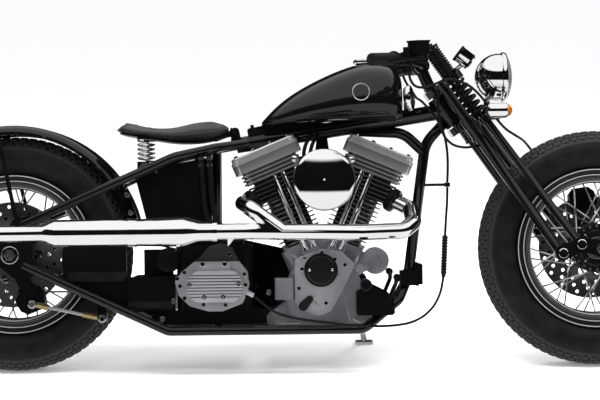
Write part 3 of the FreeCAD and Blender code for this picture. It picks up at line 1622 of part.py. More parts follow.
def parts():
    """Every node by its name, upright."""
    nodes = {}
    nodes["frame_backbone"] = frame_backbone()
    nodes["frame_downtube"] = frame_downtube()
    nodes["frame_rails"] = frame_rails()
    nodes["frame_stays"] = frame_stays()
    nodes["frame_crossbars"] = frame_crossbars()
    nodes["axle_plates"] = group([axle_plate(-1), axle_plate(1)])
    nodes["rear_axle"] = rear_axle()
    nodes["rear_wheel"] = at_rear(wheel_body(REAR_AXLE_RADIUS + FIT))
    nodes["rear_tyre"] = at_rear(tyre())
    nodes["rear_disc"] = at_rear(brake_disc(-1))
    nodes["rear_pulley"] = at_rear(rear_pulley())
    nodes["front_wheel"] = at_front(wheel_body(AXLE_RADIUS + FIT))
    nodes["front_tyre"] = at_front(tyre())
    nodes["front_disc"] = at_front(brake_disc(1))
    nodes["rigid_fork"] = rigid_fork()
    nodes["spring_fork"] = spring_fork()
    nodes["fork_rockers"] = fork_rockers()
    nodes["front_axle"] = front_axle()
    nodes["fork_springs"] = fork_springs()
    nodes["handlebar"] = handlebar()
    nodes["grips"] = group(both_sides(grip()))
    nodes["brake_control"] = hand_control(True)
    nodes["clutch_control"] = mirrored(hand_control(False))
    nodes["speedometer"] = speedometer()
    nodes["headlamp"] = headlamp()
    nodes["headlamp_lens"] = headlamp_lens()
    nodes["turn_signals"] = group(both_sides(turn_signal()))
    nodes["turn_signal_lenses"] = group(both_sides(turn_signal_lens()))
    nodes["front_caliper"] = front_caliper()
    nodes["fork_lines"] = fork_lines()
    nodes["clutch_cable_upper"] = clutch_cable_upper()
    nodes["clutch_cable_lower"] = clutch_cable_lower()
    nodes["fuel_tank"] = group([fuel_tank(), tank_cap()])
    nodes["seat"] = saddle()
    nodes["seat_base"] = seat_base()
    nodes["seat_springs"] = seat_springs()
    nodes["rear_fender"] = rear_fender()
    nodes["tail_lamp"] = group([tail_lamp(), tail_lamp_lens()])
    nodes["crankcase"] = crankcase()
    nodes["cam_cover"] = group([cam_cover(), points_cover()])
    nodes["cylinders"] = group([cylinder(-1), cylinder(1)])
    nodes["cylinder_heads"] = group([cylinder_head(-1), cylinder_head(1)])
    nodes["rocker_boxes"] = group([rocker_box(-1), rocker_box(1)])
    nodes["pushrod_tubes"] = pushrods()
    nodes["carburettor"] = carburettor()
    nodes["air_cleaner"] = air_cleaner()
    nodes["top_mounts"] = group([top_mount()] + tank_mounts())
    nodes["oil_filter"] = oil_filter()
    nodes["exhaust_headers"] = exhaust_headers()
    nodes["muffler"] = muffler()
    nodes["transmission"] = transmission()
    nodes["transmission_cover"] = transmission_cover()
    nodes["primary_cover"] = primary_cover()
    nodes["drive_belt"] = drive_belt()
    nodes["oil_tank"] = oil_tank()
    nodes["battery_box"] = battery_box()
    nodes["regulator"] = regulator()
    nodes["forward_controls"] = forward_controls()
    nodes["rear_caliper"] = rear_caliper()
    nodes["side_stand"] = side_stand()
    return nodes


def lean_placement():
    """Top over to the left, the tyres on the ground."""
    return FreeCAD.Placement(V(0, 0, lean_lift()), FreeCAD.Rotation(V(1, 0, 0), -LEAN_ANGLE))


def parked(nodes):
    """The nodes leaned onto the stand, with the origin under the middle of their bounding box."""
    leaned = {}
    for name, shape in nodes.items():
        leaned[name] = shape.copy()
        leaned[name].Placement = lean_placement().multiply(shape.Placement)
    bounds = Part.makeCompound(list(leaned.values())).optimalBoundingBox(False)
    shift = V(-bounds.Center.x, -bounds.Center.y, -bounds.ZMin)
    for shape in leaned.values():
        shape.translate(shift)
    return leaned, shift


def main():
    os.makedirs("parts", exist_ok=True)
    nodes, shift = parked(parts())
    print("origin moved by", shift)
    for name, shape in nodes.items():
        print(name, shape.isValid(), len(shape.Solids), round(shape.Volume / 1000), "cm3")
        shape.exportStep("parts/" + name + ".step")


if __name__ == "__main__":
    main()
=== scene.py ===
# %% [markdown]
# # A chopper motorcycle
# The frame is a packed CAD model: every tube, casting, wheel and cable is there, at its real size.
# This lesson dresses it. It gives each finish of the real machine a node material, rebuilds the soft and
# the highly polished pieces with clean quads, and adds the tread, bolts and trim that CAD leaves out.

import json
import math

import bmesh
import bpy
import numpy as np
from mathutils import Matrix, Vector
from mathutils.bvhtree import BVHTree


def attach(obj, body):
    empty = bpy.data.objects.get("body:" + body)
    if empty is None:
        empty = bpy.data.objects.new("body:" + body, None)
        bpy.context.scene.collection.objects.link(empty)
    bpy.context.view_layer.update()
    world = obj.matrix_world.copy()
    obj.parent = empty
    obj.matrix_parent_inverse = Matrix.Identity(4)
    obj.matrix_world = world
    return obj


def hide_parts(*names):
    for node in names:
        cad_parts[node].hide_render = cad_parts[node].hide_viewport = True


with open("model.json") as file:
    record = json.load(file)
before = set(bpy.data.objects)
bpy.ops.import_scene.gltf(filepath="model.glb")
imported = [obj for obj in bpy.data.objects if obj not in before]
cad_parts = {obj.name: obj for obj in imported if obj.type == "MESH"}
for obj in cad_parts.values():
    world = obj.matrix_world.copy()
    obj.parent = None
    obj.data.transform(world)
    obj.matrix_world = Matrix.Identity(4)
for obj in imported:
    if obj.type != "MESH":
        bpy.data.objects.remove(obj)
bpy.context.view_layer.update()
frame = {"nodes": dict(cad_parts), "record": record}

# %% [markdown]
# ## Measuring in the bike's own space
# The bike leans on its stand, so nothing on it is level. It is easier to work on an upright bike, in
# millimetres from the ground under the rear axle, and to lean each finished mesh with one matrix.
# The two wheel joints give that matrix: they say where the axles are and which way they point.

# %% The upright space
WHEEL_RADIUS = 326.0
WHEEL_BASE = 1616.0
joints = {joint["name"]: joint for joint in frame["record"]["behaviour"]["joints"]}
rear_axle = Vector(joints["rear_wheel_spin"]["pos_m"])
front_axle = Vector(joints["front_wheel_spin"]["pos_m"])
ACROSS = Vector(joints["rear_wheel_spin"]["axis"]).normalized()
AHEAD = (front_axle - rear_axle).normalized()
UPRIGHT = AHEAD.cross(ACROSS)
turn = Matrix((AHEAD, ACROSS, UPRIGHT)).transposed().to_4x4()
BIKE = (Matrix.Translation(rear_axle) @ turn @ Matrix.Scale(0.001, 4)
        @ Matrix.Translation((0, 0, -WHEEL_RADIUS)))
print("lean", round(math.degrees(math.asin(UPRIGHT.y)), 2), "degrees")

# %% [markdown]
# ## Building meshes from rings
# Most pieces of a motorcycle are turned on a lathe or bent from a tube, so two builders make almost all
# of them: one spins a profile, one sweeps a circle along a path. Both lay down rings of quads, which
# smooth shading likes. Blender's own Screw and curve bevel would do as well, but then every screw would be
# an object of its own. Here a piece may be many such parts in one mesh, like the screws of a cover.


# %% Shape, which gathers vertices and faces
class Shape:
    """Vertices and faces of one piece, in millimetres on the upright bike."""

    def __init__(self):
        self.points = []
        self.faces = []

    def add(self, points, faces):
        """Append a part, with its faces renumbered to follow what is there."""
        start = len(self.points)
        self.points.extend(tuple(point) for point in points)
        self.faces.extend([start + index for index in face] for face in faces)
        return self

    def rings(self, rings, closed=False, caps=True):
        """Join equal rings of points by quads."""
        count = len(rings[0])
        faces = []
        last = len(rings) if closed else len(rings) - 1
        for row in range(last):
            here, there = row * count, ((row + 1) % len(rings)) * count
            for column in range(count):
                beside = (column + 1) % count
                faces.append((here + column, here + beside, there + beside, there + column))
        if caps and not closed:
            faces.append(tuple(reversed(range(count))))
            faces.append(tuple(range((len(rings) - 1) * count, len(rings) * count)))
        return self.add([point for ring in rings for point in ring], faces)

    def lathe(self, profile, origin, axis, steps=48, closed=False):
        """Spin (distance along the axis, radius) points about the axis at origin."""
        along = Vector(axis).normalized()
        side = along.orthogonal().normalized()
        other = along.cross(side)
        rings = []
        for distance, radius in profile:
            centre = Vector(origin) + along * distance
            rings.append([centre + (side * math.cos(a) + other * math.sin(a)) * max(radius, 0.01)
                          for a in angles(steps)])
        return self.rings(rings, closed=closed, caps=not closed)

    def tube(self, path, radius, sides=12, closed=False):
        """Sweep a circle along a path, turning it as little as possible."""
        path = [Vector(point) for point in path]
        rings = []
        side = None
        for number, point in enumerate(path):
            before = path[number - 1] if number or closed else point
            after = path[(number + 1) % len(path)] if number + 1 < len(path) or closed else point
            along = (after - before).normalized()
            if side is None:
                side = along.orthogonal()
            side = (side - along * side.dot(along)).normalized()
            other = along.cross(side)
            rings.append([point + (side * math.cos(a) + other * math.sin(a)) * radius
                          for a in angles(sides)])
        return self.rings(rings, closed=closed)


def angles(steps):
    """Equal steps round a full turn, in radians."""
    return [2 * math.pi * step / steps for step in range(steps)]


pipe = Shape().lathe(((0, 5), (9, 5)), (0, 0, 0), (0, 0, 1), 12)
print("a lathe of twelve steps turns two points into", len(pipe.faces), "faces with both ends")

# %% [markdown]
# ## Screw heads and nuts
# Three fasteners turn up again and again: a hexagon head on its washer, a round head with a socket, and
# a polished acorn nut. Each is one or a few turned profiles, and a hexagon is only a lathe with six steps.
# Each function adds its head to a Shape, so that all the screws of one cover share a mesh.


# %% Screw heads and nuts
def hex_head(shape, origin, axis, radius, height):
    """A six-sided bolt head with a chamfered top, on a round washer."""
    shape.lathe([(0, radius * 1.25), (height * 0.2, radius * 1.25)], origin, axis, 24)
    profile = [(height * 0.2, radius), (height * 0.85, radius), (height, radius * 0.86)]
    return shape.lathe(profile, origin, axis, 6)


def cap_screw(shape, origin, axis, radius, height):
    """A round screw head with a socket in its top."""
    profile = [(0, radius), (height * 0.85, radius), (height, radius * 0.88), (height, radius * 0.5),
               (height * 0.4, radius * 0.46)]
    return shape.lathe(profile, origin, axis, 20)


def dome_nut(shape, origin, axis, radius, height):
    """A polished acorn nut."""
    shape.lathe([(0, radius * 1.2), (height * 0.12, radius * 1.2)], origin, axis, 24)
    shape.lathe([(height * 0.12, radius), (height * 0.5, radius)], origin, axis, 6)
    cap = [(height * (0.5 + 0.5 * math.sin(a)), radius * 0.84 * math.cos(a))
           for a in np.linspace(0, math.pi / 2, 7)]
    return shape.lathe(cap, origin, axis, 24)


print("a round screw head has", len(cap_screw(Shape(), (0, 0, 0), (0, 0, 1), 5, 4).faces), "faces")

# %% [markdown]
# ## From a Shape to a piece
# A piece needs four things: a clean mesh, a finish, a body to ride on and, if it stands for a CAD node,
# the name of that node. One function does all four, so nothing is forgotten. Edges sharper than 35
# degrees stay crisp and the rest is shaded smooth.


# %% Making a piece
def make_piece(name, shape, finish, body, stands_for=(), sharp=35.0):
    """Build a shape as an object, with its finish, its body and the nodes it stands for."""
    mesh = bpy.data.meshes.new(name)
    mesh.from_pydata(shape.points, [], shape.faces)
    mesh.transform(BIKE)
    cleaner = bmesh.new()
    cleaner.from_mesh(mesh)
    bmesh.ops.recalc_face_normals(cleaner, faces=cleaner.faces)
    cleaner.to_mesh(mesh)
    cleaner.free()
    mesh.shade_smooth()
    mesh.set_sharp_from_angle(angle=math.radians(sharp))
    piece = bpy.data.objects.new(name, mesh)
    bpy.context.scene.collection.objects.link(piece)
    mesh.materials.append(finish)
    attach(piece, body)
    if stands_for:
        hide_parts(*stands_for)
    print(name, "has", len(mesh.polygons), "faces")
    return piece


# %% [markdown]
# ## Writing shaders as expressions
# Node trees are easier to read as formulas. Field wraps a number socket, so that a sum or a product of
# two Fields adds the Math node for it.


# %% Field
class Field:
    """A number that varies over a surface."""

    def __init__(self, finish, socket):
        self.finish = finish
        self.socket = socket

    def math(self, operation, *values):
        """The result of a Math node that works on the given values."""
        node = self.finish.node("ShaderNodeMath", {"operation": operation}, dict(enumerate(values)))
        return Field(self.finish, node.outputs[0])

    def __add__(self, other):
        return self.math("ADD", self, other)

    def __sub__(self, other):
        return self.math("SUBTRACT", self, other)

    def __rsub__(self, other):
        return self.math("SUBTRACT", other, self)

    def __mul__(self, other):
        return self.math("MULTIPLY", self, other)

    def __gt__(self, other):
        return self.math("GREATER_THAN", self, other)

    def __lt__(self, other):
        return self.math("LESS_THAN", self, other)

    def between(self, low, high):
        """1 between the two values and 0 outside them."""
        return (self > low) * (self < high)

    __radd__ = __add__
    __rmul__ = __mul__


print("a Field understands + - * > <, so a mask can be turned round as 1 - mask")

# %% [markdown]
# ## One material
# Every finish is a Principled shader with something that feeds its sockets. Material makes one, sets its
# sockets, and has the one method from which every node comes that isn't plain maths. It could be clicked
# together in the shader editor too, but once for each finish.


# %% Material
def ramp(node, stops):
    """Give a colour ramp node its grey stops."""
    elements = node.color_ramp.elements
    while len(elements) < len(stops):
        elements.new(0.5)
    for element, (position, grey) in zip(elements, stops):
        element.position = position
        element.color = (grey, grey, grey, 1.0)


class Material:
    """One material, with a Principled shader at its end."""

    def __init__(self, name, colour, roughness, metallic=0.0, **settings):
        self.material = bpy.data.materials.new(name)
        self.material.use_nodes = True
        self.tree = self.material.node_tree
        self.shader = self.tree.nodes["Principled BSDF"]
        self.set("Base Color", (*colour, 1.0))
        self.set("Roughness", roughness)
        self.set("Metallic", metallic)
        for socket, value in settings.items():
            self.set(socket.replace("_", " "), value)
        self.material.diffuse_color = (*colour, 1.0)

    def set(self, socket, value):
        """Give the shader's socket a value or a link."""
        if isinstance(value, Field):
            self.tree.links.new(value.socket, self.shader.inputs[socket])
        elif isinstance(value, bpy.types.NodeSocket):
            self.tree.links.new(value, self.shader.inputs[socket])
        else:
            self.shader.inputs[socket].default_value = value

    def node(self, kind, settings=None, inputs=None):
        """Add a node: its settings come first, then the values or links of its sockets."""
        node = self.tree.nodes.new(kind)
        for setting, value in (settings or {}).items():
            if setting == "stops":
                ramp(node, value)
            else:
                setattr(node, setting, value)
        for key, value in (inputs or {}).items():
            if isinstance(value, Field):
                value = value.socket
            if isinstance(value, bpy.types.NodeSocket):
                self.tree.links.new(value, node.inputs[key])
            else:
                node.inputs[key].default_value = value
        return node


print("the CAD model brings", len(bpy.data.materials), "materials of its own")

# %% [markdown]
# ## Patterns
# A finish adds what real surfaces have: clouds of noise, rings, pebbles, mixed colours, a bump, and the
# distance from an axle or along a direction. Every shader below is written with these few words.


# %% Finish
class Finish(Material):
    """A material with the patterns that this machine's surfaces need."""

    def place(self):
        """Where a point is on the object, in metres."""
        return self.node("ShaderNodeTexCoord").outputs["Object"]

    def noise(self, scale, detail):
        """Cloudy noise through the whole piece."""
        node = self.node("ShaderNodeTexNoise", None,
                         {"Vector": self.place(), "Scale": scale, "Detail": detail})
        return Field(self, node.outputs["Fac"])

    def streaks(self, value, scale, detail):
        """Noise along one number only, so that it makes rings where the number is a radius."""
        node = self.node("ShaderNodeTexNoise", {"noise_dimensions": "1D"},
                         {"W": value, "Scale": scale, "Detail": detail})
        return Field(self, node.outputs["Fac"])

    def cells(self, scale):
        """Distance from the middle of pebble-like cells."""
        node = self.node("ShaderNodeTexVoronoi", {"feature": "F1"},
                         {"Vector": self.place(), "Scale": scale})
        return Field(self, node.outputs["Distance"])

    def ramp(self, value, *stops):
        """Turn a number into greys at (position, grey) stops."""
        node = self.node("ShaderNodeValToRGB", {"stops": stops}, {"Fac": value})
        return Field(self, node.outputs["Color"])

    def mix(self, mask, first, second):
        """Colour first where the mask is 0 and second where it is 1."""
        node = self.node("ShaderNodeMix", {"data_type": "RGBA"}, {0: mask})
        for key, colour in ((6, first), (7, second)):
            if isinstance(colour, bpy.types.NodeSocket):
                self.tree.links.new(colour, node.inputs[key])
            else:
                node.inputs[key].default_value = (*colour, 1.0)
        return node.outputs[2]

    def mottle(self, noise, dark, light, smooth, rough):
        """Let a noise wander between two colours and between two roughnesses."""
        self.set("Base Color", self.mix(noise, dark, light))
        self.set("Roughness", self.ramp(noise, (0.3, smooth), (0.8, rough)))

    def bump(self, height, depth, strength=1.0):
        """Raise the surface by height times depth in metres."""
        node = self.node("ShaderNodeBump", None,
                         {"Height": height, "Distance": depth, "Strength": strength})
        self.set("Normal", node.outputs["Normal"])

    def vector(self, operation, first, second=None):
        """A node that works on one vector or two."""
        inputs = {0: first} if second is None else {0: first, 1: second}
        return self.node("ShaderNodeVectorMath", {"operation": operation}, inputs)

    def from_line(self, start, direction):
        """Distance in metres from a line, such as an axle or a cylinder's axis."""
        offset = self.vector("SUBTRACT", self.place(), start)
        around = self.vector("CROSS_PRODUCT", offset.outputs[0], direction)
        return Field(self, self.vector("LENGTH", around.outputs[0]).outputs["Value"])

    def along(self, start, direction):
        """Distance in metres from a start, measured along a direction."""
        offset = self.vector("SUBTRACT", self.place(), start)
        return Field(self, self.vector("DOT_PRODUCT", offset.outputs[0], direction).outputs["Value"])


print("a Finish knows", ", ".join(name for name in vars(Finish) if not name.startswith("_")))

# %% [markdown]
# ## Paint
# The frame, tank and fender wear deep black gloss: a near-black base under a clear coat. Real coats are
# never flat, so a very shallow noise gives the reflections their slight swim, and dust makes the gloss
# vary. Brackets and bars are powder coated, which is rougher and has a fine grain. One dark colour would do
# from afar, but the two blacks side by side are what tells paint from powder coat.


# %% Gloss black and satin black
def gloss_black():
    """Deep gloss paint under a clear coat."""
    paint = Finish("deep black lacquer", (0.0022, 0.0022, 0.0024), 0.22,
                   Specular_IOR_Level=0.06, Coat_Weight=1.0, Coat_Roughness=0.05, Coat_IOR=1.45)
    dust = paint.noise(26.0, 6.0)
    paint.set("Roughness", paint.ramp(dust, (0.35, 0.16), (0.75, 0.34)))
    paint.bump(paint.noise(420.0, 2.0), 0.00003, 0.6)
    return paint.material


def satin_black():
    """Powder coat, rougher and finely grained."""
    coat = Finish("satin black powder coat", (0.002, 0.002, 0.0022), 0.32, Specular_IOR_Level=0.08)
    grain = coat.noise(900.0, 3.0)
    coat.set("Roughness", coat.ramp(coat.noise(30.0, 5.0), (0.3, 0.28), (0.8, 0.46)))
    coat.set("Base Color", coat.mix(grain, (0.0012, 0.0012, 0.0013), (0.0035, 0.0035, 0.0038)))
    coat.bump(grain, 0.00006, 0.5)
    return coat.material


BLACK_GLOSS = gloss_black()
BLACK_SATIN = satin_black()
print("paints:", BLACK_GLOSS.name, BLACK_SATIN.name)

# %% [markdown]
# ## Directions on a leaning bike
# Some finishes change from place to place on the machine. Shaders work in the scene's metres, so a place
# or a direction that is given on the upright bike goes through its matrix first. The two cylinders stand in
# a V, each leaning by the same angle from the crank.

# %% Places and directions
CRANK_X, CRANK_Z = 857.0, 212.0
CYLINDER_ANGLE = math.radians(22.5)


def bike_point(x, y, z):
    """A place on the upright bike, in millimetres, as metres in the scene."""
    return BIKE @ Vector((x, y, z))


def bike_direction(x, y, z):
    """A direction on the upright bike, as a unit direction in the scene."""
    return (BIKE.to_3x3() @ Vector((x, y, z))).normalized()


def cylinder_axis(side):
    """The way up the rear cylinder, for side -1, or the front one, for side 1."""
    return bike_direction(side * math.sin(CYLINDER_ANGLE), 0, math.cos(CYLINDER_ANGLE))


print("the front cylinder's way up is", [round(value, 3) for value in cylinder_axis(1)])

# %% [markdown]
# ## Black fins with bright edges
# The barrels and heads are painted black, and then the edges of their fins are machined bare. Painting
# each face by hand would be slow. The edges all lie at one distance from a cylinder's axis, or from the
# bike's middle plane, so the shader finds them by that distance.


# %% Black fins
BARREL_EDGE = 0.0618
HEAD_EDGE = 0.0665


def barrel_edge(coat):
    """The outer millimetre of the round fins, about the nearer cylinder's axis."""
    crank = bike_point(CRANK_X, 0, CRANK_Z)
    rear, front = (coat.from_line(crank, cylinder_axis(side)) for side in (-1, 1))
    return rear.math("MINIMUM", rear, front) > BARREL_EDGE


def head_edge(coat):
    """The right and left faces of the square fins."""
    out = coat.along(rear_axle, ACROSS)
    return out.math("ABSOLUTE", out) > HEAD_EDGE


def finned_black(name, edge_of):
    """Black fins whose machined edges are left bright; edge_of gives 1 on the edges."""
    coat = Finish(name, (0.006, 0.006, 0.006), 0.4, Specular_IOR_Level=0.3)
    cast = coat.noise(520.0, 5.0)
    edge = edge_of(coat)
    black = coat.mix(cast, (0.003, 0.003, 0.003), (0.012, 0.012, 0.012))
    coat.set("Base Color", coat.mix(edge, black, (0.2, 0.205, 0.215)))
    coat.set("Metallic", edge)
    coat.set("Roughness", coat.ramp(cast, (0.3, 0.3), (0.8, 0.48)))
    coat.bump(cast, 0.0001, 0.5)
    return coat.material


BARREL_FINS = finned_black("black barrel fins", barrel_edge)
HEAD_FINS = finned_black("black head fins", head_edge)
print("fins:", BARREL_FINS.name, HEAD_FINS.name)

# %% [markdown]
# ## Bright metal
# Chrome is nearly a mirror; what makes it believable is the faint haze where hands and cloths have been.
# So the roughness wanders with a slow noise, and no scratches are drawn. Polished aluminium is softer and
# greyer.


# %% Chrome and polished aluminium
def chrome():
    """Nearly a mirror, with a slow haze."""
    plate = Finish("chrome plate", (0.93, 0.935, 0.95), 0.05, 1.0)
    haze = plate.noise(14.0, 8.0)
    plate.set("Roughness", plate.ramp(haze, (0.35, 0.025), (0.8, 0.1)))
    plate.bump(plate.noise(60.0, 2.0), 0.00004, 0.25)
    return plate.material


def warm_chrome():
    """Header pipes: chrome that heat has tinted in patches."""
    plate = Finish("chrome exhaust plate", (0.86, 0.87, 0.89), 0.05, 1.0)
    haze = plate.noise(11.0, 8.0)
    plate.set("Roughness", plate.ramp(haze, (0.35, 0.03), (0.8, 0.12)))
    plate.set("Base Color", plate.mix(plate.ramp(haze, (0.45, 0.0), (0.9, 0.5)),
                                      (0.95, 0.955, 0.965), (0.9, 0.87, 0.82)))
    return plate.material


def polished_aluminium():
    """Softer and greyer than chrome."""
    metal = Finish("polished aluminium", (0.72, 0.73, 0.75), 0.16, 1.0)
    metal.mottle(metal.noise(40.0, 6.0), (0.62, 0.63, 0.65), (0.8, 0.81, 0.83), 0.1, 0.26)
    return metal.material


CHROME = chrome()
EXHAUST_CHROME = warm_chrome()
POLISHED = polished_aluminium()
print("bright:", CHROME.name, EXHAUST_CHROME.name, POLISHED.name)

# %% [markdown]
# ## Castings
# The crankcase is blasted: a fine dimpled skin, a little uneven in its grey. The rocker boxes are ribbed
# castings whose ribs show as light and dark bands under a broad light, lighter towards the top. These bands
# of light and shade are painted into their grey, which follows the height along each cylinder. Painting the
# bands by hand would need a texture image; a distance doesn't.


# %% Crankcase and rocker boxes
BOX_LOW = 0.34
RIB_LIGHT_AND_SHADE_BANDS = ((0.0, 0.2), (0.135, 0.2), (0.145, 0.5), (0.185, 0.45), (0.2, 0.14), (0.245, 0.16),
             (0.255, 0.5), (0.295, 0.45), (0.31, 0.14), (0.355, 0.16), (0.365, 0.5), (0.405, 0.45),
             (0.42, 0.16), (0.475, 0.2), (0.485, 0.75), (0.51, 0.62), (0.7, 0.4), (0.735, 0.3),
             (0.75, 0.86), (1.0, 0.8))


def cast_aluminium():
    """A blasted casting: dimpled, and uneven in its grey."""
    metal = Finish("blasted cast aluminium", (0.2, 0.21, 0.23), 0.42, 0.85)
    metal.mottle(metal.noise(18.0, 6.0), (0.26, 0.27, 0.29), (0.46, 0.47, 0.5), 0.34, 0.52)
    metal.bump(metal.noise(1400.0, 4.0), 0.00012, 0.7)
    return metal.material


def head_aluminium():
    """Satin rocker boxes with painted light and shade bands of their ribs, set by height in tenths of a
    metre along the nearer cylinder.
    """
    metal = Finish("satin head casting", (0.5, 0.51, 0.54), 0.3, 0.9)
    stain = metal.noise(22.0, 6.0)
    crank = bike_point(CRANK_X, 0, CRANK_Z)
    rear, front = (metal.along(crank, cylinder_axis(side)) for side in (-1, 1))
    ahead = metal.along(crank, AHEAD) > 0.0
    height = (rear + ahead * (front - rear) - BOX_LOW) * 10.0
    # Painted light and shade: the ribs' bright and dark bands and the lighter top are set in the base
    # colour.
    metal.set("Base Color", metal.ramp(height, *RIB_LIGHT_AND_SHADE_BANDS))
    metal.set("Roughness", metal.ramp(stain, (0.3, 0.27), (0.8, 0.33)))
    metal.bump(metal.noise(900.0, 2.0), 0.00003, 0.3)
    return metal.material


CASTING = cast_aluminium()
HEAD_CASTING = head_aluminium()
print("castings:", CASTING.name, HEAD_CASTING.name)

# %% [markdown]
# ## Side covers
# The gearbox cover has bright ridges over dull grooves, and the cam cover carries a round black cover.
# These lie at their own distances from the middle of the bike, and so distances tell them apart again.

# %% Side covers
GEARBOX_FRONT = 0.7
POINTS_FACE = -0.1237
GROOVE_FACE, RIDGE_FACE = -0.1385, -0.1425
GROOVES_TOP, DOME_LOW = -0.06, -0.023


def cover_aluminium():
    """Satin side covers. What stands proud of the cam cover's face is its black points cover."""
    metal = Finish("satin cover", (0.3, 0.31, 0.33), 0.36, 0.85)
    stain = metal.noise(14.0, 6.0)
    plain = metal.mix(stain, (0.5, 0.51, 0.54), (0.68, 0.69, 0.72))
    out = metal.along(rear_axle, ACROSS)
    above = metal.along(rear_axle, UPRIGHT)
    gearbox = metal.along(rear_axle, AHEAD) < GEARBOX_FRONT
    proud = (out < POINTS_FACE) * (1 - gearbox)
    dome = gearbox * (above > DOME_LOW)
    ridge = gearbox * (out < RIDGE_FACE)
    groove = gearbox * (out < GROOVE_FACE) * (1 - ridge) * (above < GROOVES_TOP)
    shaded = metal.mix(dome, metal.mix(groove, plain, (0.2, 0.205, 0.215)), (0.06, 0.061, 0.065))
    bright = metal.mix(ridge, shaded, (0.82, 0.83, 0.86))
    metal.set("Base Color", metal.mix(proud, bright, (0.003, 0.003, 0.003)))
    metal.set("Metallic", (1 - proud) * 0.85)
    metal.set("Roughness", metal.ramp(stain, (0.3, 0.3), (0.8, 0.44)))
    metal.bump(metal.noise(1200.0, 3.0), 0.00008, 0.4)
    return metal.material


COVER = cover_aluminium()
print("covers:", COVER.name)

# %% [markdown]
# ## Steel and brass
# A brake disc keeps the marks of its grinding, which run round the axle: noise along the radius alone
# draws them as rings. Axles, nuts and bolts are zinc plated, with the cloudy spangle that zinc has. The
# barrels of the brake stay are brass that has gone dull.


# %% Steel and brass
def dark_steel(axle, name):
    """A ground disc: fine rings about the axle."""
    metal = Finish(name, (0.2, 0.2, 0.21), 0.34, 1.0)
    groove = metal.streaks(metal.from_line(axle, ACROSS), 2600.0, 3.0)
    metal.set("Base Color", metal.mix(groove, (0.1, 0.1, 0.105), (0.3, 0.3, 0.31)))
    metal.set("Roughness", metal.ramp(groove, (0.3, 0.26), (0.75, 0.46)))
    metal.bump(groove, 0.00002, 0.5)
    return metal.material


def zinc_steel():
    """Plated steel with its cloudy spangle."""
    metal = Finish("zinc plated steel", (0.5, 0.5, 0.51), 0.3, 1.0)
    metal.mottle(metal.noise(120.0, 4.0), (0.38, 0.38, 0.39), (0.6, 0.6, 0.61), 0.22, 0.4)
    return metal.material


def yellow_brass():
    """Brass gone dull in patches."""
    metal = Finish("dulled brass", (0.42, 0.33, 0.14), 0.35, 1.0)
    metal.mottle(metal.noise(90.0, 5.0), (0.26, 0.2, 0.09), (0.55, 0.45, 0.2), 0.26, 0.5)
    return metal.material


FRONT_DISC_STEEL = dark_steel(front_axle, "front disc steel")
REAR_DISC_STEEL = dark_steel(rear_axle, "rear disc steel")
ZINC = zinc_steel()
BRASS = yellow_brass()
print("steel and brass:", FRONT_DISC_STEEL.name, REAR_DISC_STEEL.name, ZINC.name, BRASS.name)

# %% [markdown]
# ## Wheels in one material
# Each wheel is one CAD mesh: rim, spokes and hub. On the real one the spokes are bright and the hub is
# black with turned bands. The rim is chrome too, and it mirrors the dark of the room, so that only its
# rolled edges show as thin light rings. Here that reflection is painted into the rim's colour as dark greys
# with thin painted highlight rings, and its metal is turned mostly down. Distance from the axle tells all
# of these apart, and one material paints them. Cutting the mesh up would do it as well, but would open
# seams in it.

# %% Wheel finish
HUB_CENTRE = 0.0305
HUB_BAND = (0.0465, 0.0505)
HUB_REACH = 0.0705
RIM_REACH = 0.182
INNER_HIGHLIGHT, MIDDLE_HIGHLIGHT, OUTER_HIGHLIGHT = (0.184, 0.1862), (0.202, 0.2042), (0.2165, 0.2192)


def wheel_finish(axle, name):
    """Hub, spokes and rim, told apart by how far they are from the axle; the rim's chrome reflection is
    painted in.
    """
    metal = Finish(name, (0.7, 0.71, 0.73), 0.2, 1.0, Coat_Roughness=0.05)
    reach = metal.from_line(axle, ACROSS)
    black = (reach < HUB_REACH) * (1 - reach.between(*HUB_BAND)) * (1 - (reach < HUB_CENTRE))
    wear = metal.noise(35.0, 6.0)
    bright = metal.mix(wear, (0.6, 0.61, 0.63), (0.82, 0.83, 0.85))
    rim = reach > RIM_REACH
    # Painted reflection on the rim: thin light rings at the rolled edges and streaked dark grey between
    # them. Beyond the middle ring the lip gets painted shade, and the rim's metal is turned mostly down.
    lines = reach.between(*INNER_HIGHLIGHT) + reach.between(*MIDDLE_HIGHLIGHT) + reach.between(*OUTER_HIGHLIGHT)
    dark = metal.mix(metal.streaks(reach, 420.0, 2.0) > 0.56, (0.012, 0.012, 0.013), (0.075, 0.077, 0.08))
    lip = metal.mix(reach > MIDDLE_HIGHLIGHT[1], dark, (0.004, 0.004, 0.0042))
    painted = metal.mix(rim, bright, metal.mix(lines, lip, (0.34, 0.345, 0.36)))
    metal.set("Base Color", metal.mix(black, painted, (0.004, 0.004, 0.0045)))
    metal.set("Metallic", (1 - black) * (1 - rim * 0.7))
    metal.set("Roughness", 0.16 + wear * 0.1 + rim * 0.16)
    return metal.material


FRONT_WHEEL_METAL = wheel_finish(front_axle, "front rim, spokes and hub")
REAR_WHEEL_METAL = wheel_finish(rear_axle, "rear rim, spokes and hub")
print("wheels:", FRONT_WHEEL_METAL.name, "and", REAR_WHEEL_METAL.name)

# %% [markdown]
# ## Rubber and leather
# Rubber is dark and soft to light, and a grey bloom lies on it in patches. Beyond the walls of a tyre the
# tread is greyer still, so the tyres get a second grey by distance from their axle.
# The saddle's leather has a pebbled grain, which two sizes of cells give, and its shine wanders a little in
# patches.

# %% Rubber and leather
TREAD_START = 0.292


